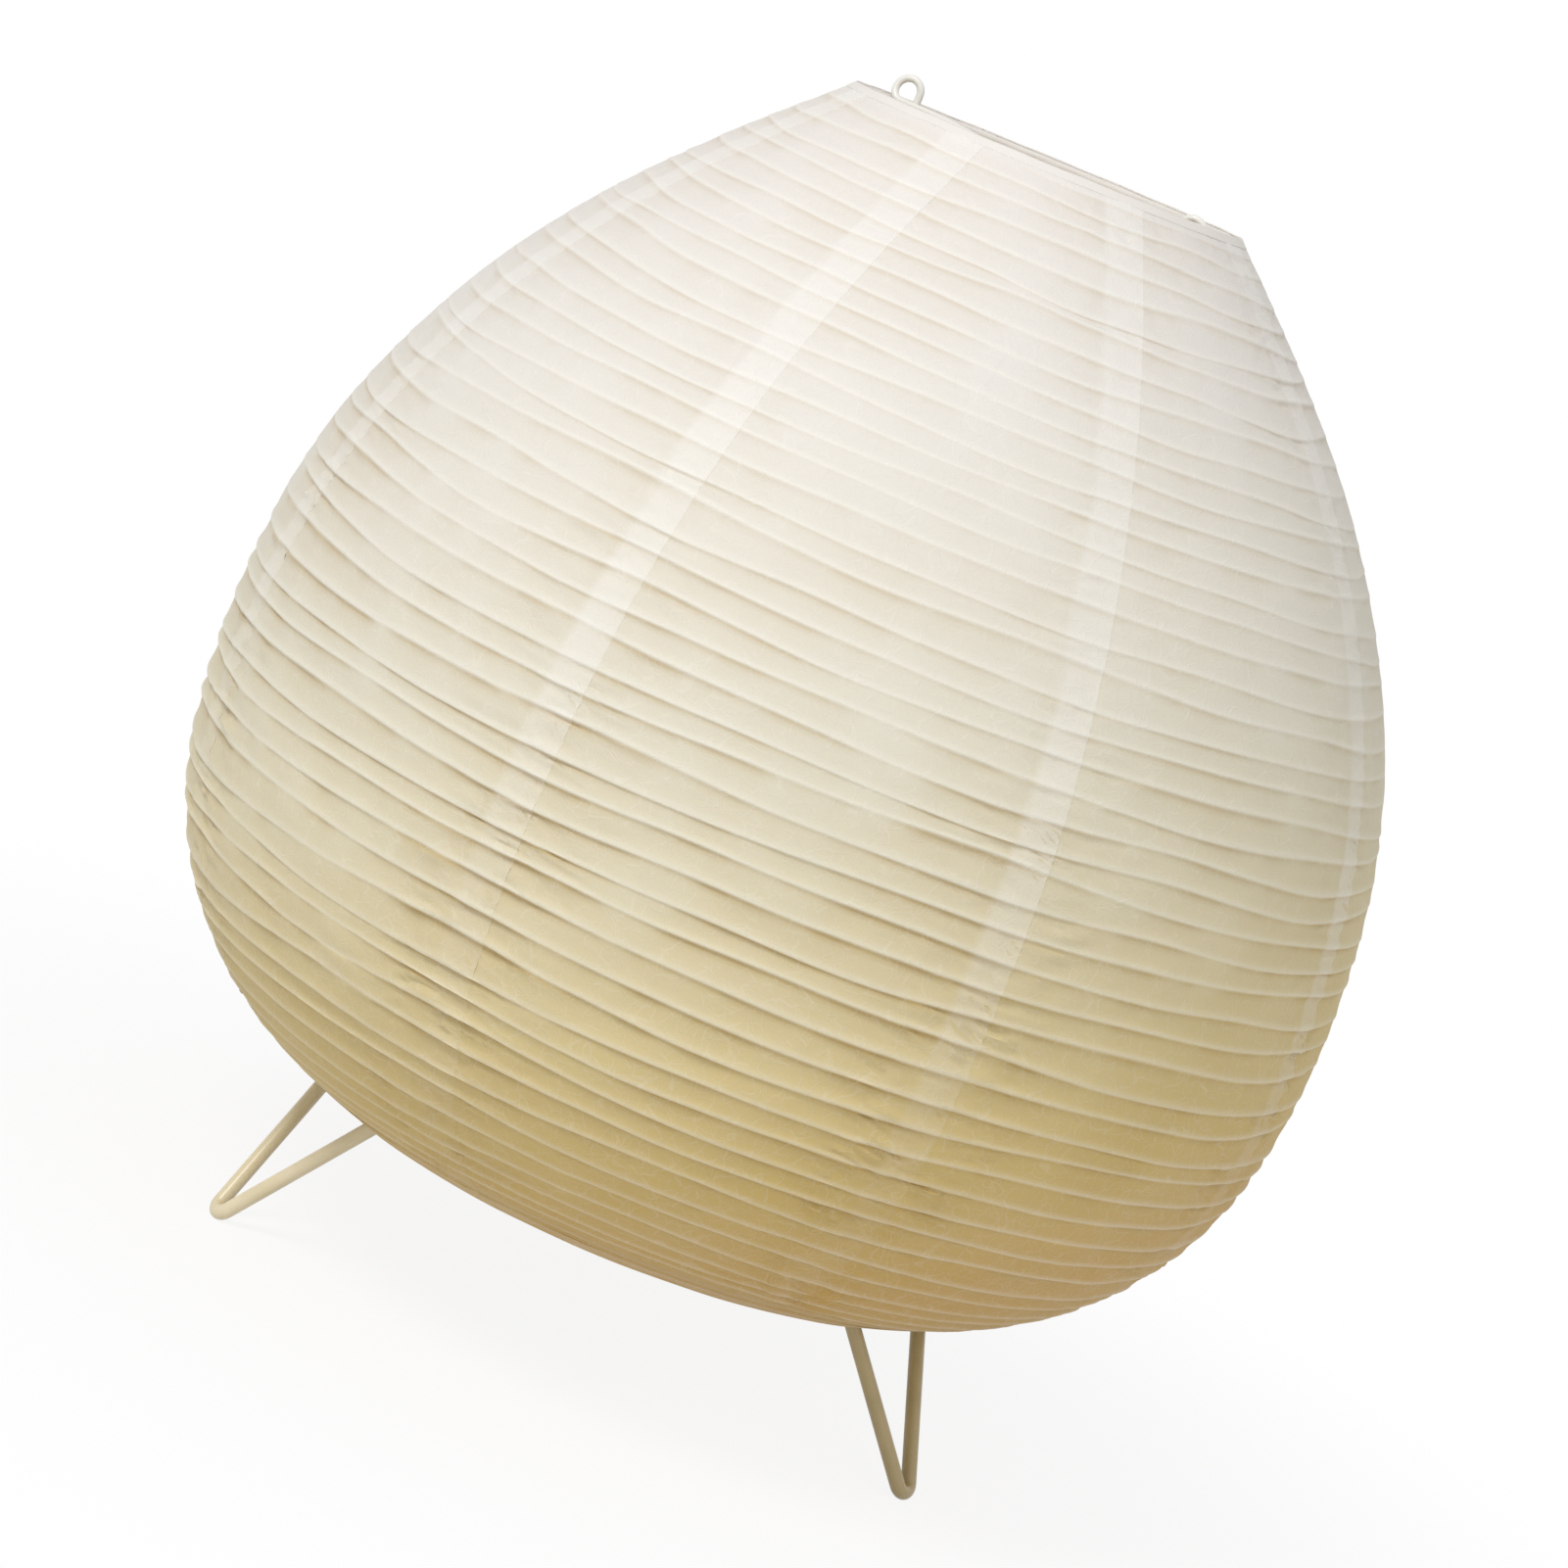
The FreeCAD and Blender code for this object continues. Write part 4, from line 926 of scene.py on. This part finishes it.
def hems():
    """At each mouth a paper tape round the hoop, and a strip pasted outside the paper."""
    for mouth, body, hoop in (("top", "top_rim", "top_hoop"), ("bottom", "frame", "bottom_hoop")):
        low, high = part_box(hoop)
        wire = (high.z - low.z) / 2
        ring, level = high.x - wire, (high.z + low.z) / 2
        inner, outer = wire + TAPE_GAP, wire + TAPE_GAP + TAPE_WALL
        tape = lathe(f"{mouth}_hem_tape", tape_section(ring, level, inner, outer),
                     FINISH["hem_tape"], hem_wave)
        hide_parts(f"{mouth}_hem")
        keep_places(tape)
        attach(tape, body)

        if mouth == "top":
            ends, heights = (RIM_CUT, TOP_HEM), (STRIP_FOLD, STRIP_EDGE)
        else:
            ends, heights = (SHADE_LENGTH - HEM, SHADE_LENGTH), (STRIP_EDGE, STRIP_FOLD)
        stops, rises = np.linspace(*ends, 9), np.linspace(*heights, 9)
        face = [along_profile(s, rise) for s, rise in zip(stops, rises)]
        back = [along_profile(s, -STRIP_BACK) for s in stops]
        if mouth == "bottom":
            for turn in np.radians(np.linspace(120.0, 215.0, 7)):
                way = Vector((math.sin(turn), math.cos(turn)))
                face.append(tuple(Vector((ring, level)) + way * (outer + TAPE_LAP)))
                back.append(tuple(Vector((ring, level)) + way * (outer + STRIP_BACK)))
        strip = lathe(f"{mouth}_hem_strip", face + back[::-1], FINISH["hem_tape"],
                      strip_wave, sides=360)
        folds(strip)


def tape_section(ring, level, inner, outer):
    """Section of the tape: once round the hoop, its end on its start inside the shade."""
    start = math.radians(-80.0)
    turns = [(start + math.radians(385.0) * i / 30, TAPE_LAP * i / 30) for i in range(31)]
    outside = [(ring + (outer + out) * math.sin(a), level + (outer + out) * math.cos(a))
               for a, out in turns]
    inside = [(ring + (inner + out) * math.sin(a), level + (inner + out) * math.cos(a))
              for a, out in turns]
    return outside + inside[::-1]


def hem_wave(angle, index):
    return (0.00005 * math.sin(31 * angle + index), 0.00006 * math.sin(23 * angle + 2 * index))


def strip_wave(angle, index):
    return (0.00004 * math.sin(29 * angle), 0.00008 * math.sin(17 * angle))


def weld_beads():
    """A bead of weld under the base ring at each arm of the three legs."""
    low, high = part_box("base_ring")
    wire = (high.z - low.z) / 2
    across, level = high.x - wire * 0.38, (high.z + low.z) / 2 - wire * 0.8
    spots = [(across * math.cos(angle), across * math.sin(angle), level)
             for angle in arm_angles(across)]
    mesh = bpy.data.meshes.new("weld_spots")
    mesh.from_pydata(spots, [], [])
    beads = grow("weld_beads", bead_tree(), {"Paint": FINISH["frame_paint"]}, start=mesh)
    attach(beads, "frame")


shade()
hems()
weld_beads()
bpy.data.objects.remove(guide)


# ---------------------------------------------------------------- floor, light, camera

SKY_LIGHT = 0.52          # the sky's strength as a light; it is seen at 1
FLOOR_REACH = 40.0
SHADOW_NEAR, SHADOW_FAR = 0.22, 0.62  # from the axis, where the floor's shadow fades to white


def looked_at(tree):
    """1 for what the camera sees straight, in a reflection or through glass, 0 for light."""
    path = tree.nodes.new("ShaderNodeLightPath")
    seen = path.outputs["Is Camera Ray"]
    for ray in ("Is Glossy Ray", "Is Transmission Ray"):
        either = tree.nodes.new("ShaderNodeMath")
        either.operation = "MAXIMUM"
        tree.links.new(seen, either.inputs[0])
        tree.links.new(path.outputs[ray], either.inputs[1])
        seen = either.outputs[0]
    return seen


def floor():
    """A white floor that keeps the lamp's shadow near it and runs out to white."""
    mesh = bpy.data.meshes.new("floor")
    corners = [(x * FLOOR_REACH, y * FLOOR_REACH, 0)
               for x, y in ((-1, -1), (1, -1), (1, 1), (-1, 1))]
    mesh.from_pydata(corners, [], [(0, 1, 2, 3)])
    item = bpy.data.objects.new("floor", mesh)
    bpy.context.scene.collection.objects.link(item)
    f = Finish("floor_white", (0.86, 0.86, 0.86), 0.9, Specular_IOR_Level=0.0)
    flat = f.node("ShaderNodeVectorMath", {0: f.place}, operation="LENGTH")
    far = f.node("ShaderNodeMapRange", {"Value": flat.outputs["Value"],
                                        "From Min": SHADOW_NEAR, "From Max": SHADOW_FAR,
                                        "To Min": 0.88}, interpolation_type="SMOOTHSTEP")
    share = f.node("ShaderNodeMath", {0: far.outputs[0], 1: looked_at(f.material.node_tree)},
                   operation="MULTIPLY")
    glow = f.node("ShaderNodeEmission", {"Color": (1, 1, 1, 1), "Strength": 1.0})
    mixed = f.node("ShaderNodeMixShader", {0: share.outputs[0]})
    f.feed(mixed.inputs[1], f.shader.outputs[0])
    f.feed(mixed.inputs[2], glow.outputs[0])
    f.feed(f.nodes["Material Output"].inputs["Surface"], mixed.outputs[0])
    mesh.materials.append(f.material)


def sky():
    """Soft even light, seen as white."""
    world = bpy.data.worlds.new("studio")
    bpy.context.scene.world = world
    world.use_nodes = True
    tree = world.node_tree
    back = tree.nodes["Background"]
    level = tree.nodes.new("ShaderNodeMapRange")
    level.inputs["To Min"].default_value = SKY_LIGHT
    level.inputs["To Max"].default_value = 1.0
    tree.links.new(looked_at(tree), level.inputs["Value"])
    tree.links.new(level.outputs[0], back.inputs["Strength"])
    back.inputs["Color"].default_value = (1, 1, 1, 1)


def lamp(name, place, size, power):
    """A round soft lamp that points at the shade."""
    data = bpy.data.lights.new(name, "AREA")
    data.shape = "DISK"
    data.size = size
    data.energy = power
    item = bpy.data.objects.new(name, data)
    item.location = place
    way = Vector((0, 0, 0.3)) - Vector(place)
    item.rotation_euler = way.to_track_quat("-Z", "Y").to_euler()
    bpy.context.scene.collection.objects.link(item)


CAMERA_PLACE = (-0.0037, -1.957, 0.5672)
CAMERA_DOWN, CAMERA_ROLL = math.radians(9.344), math.radians(22.3)


def camera():
    """The photograph's view: from the front, a little from above, rolled."""
    data = bpy.data.cameras.new("camera")
    data.sensor_width = 36.0
    data.lens = 106.8
    item = bpy.data.objects.new("camera", data)
    bpy.context.scene.collection.objects.link(item)
    right = Vector((1, 0, 0))
    up = Vector((0, math.sin(CAMERA_DOWN), math.cos(CAMERA_DOWN)))
    rolled_right = right * math.cos(CAMERA_ROLL) + up * math.sin(CAMERA_ROLL)
    rolled_up = up * math.cos(CAMERA_ROLL) - right * math.sin(CAMERA_ROLL)
    turn = Matrix((rolled_right, rolled_up, right.cross(up))).transposed()
    item.matrix_world = Matrix.Translation(CAMERA_PLACE) @ turn.to_4x4()
    bpy.context.scene.camera = item


floor()
sky()
lamp("key", (-1.1, -1.45, 1.95), 0.9, 28.5)
lamp("fill", (1.4, -1.6, 1.2), 1.6, 7.0)
camera()
bpy.context.scene.view_settings.view_transform = "Standard"
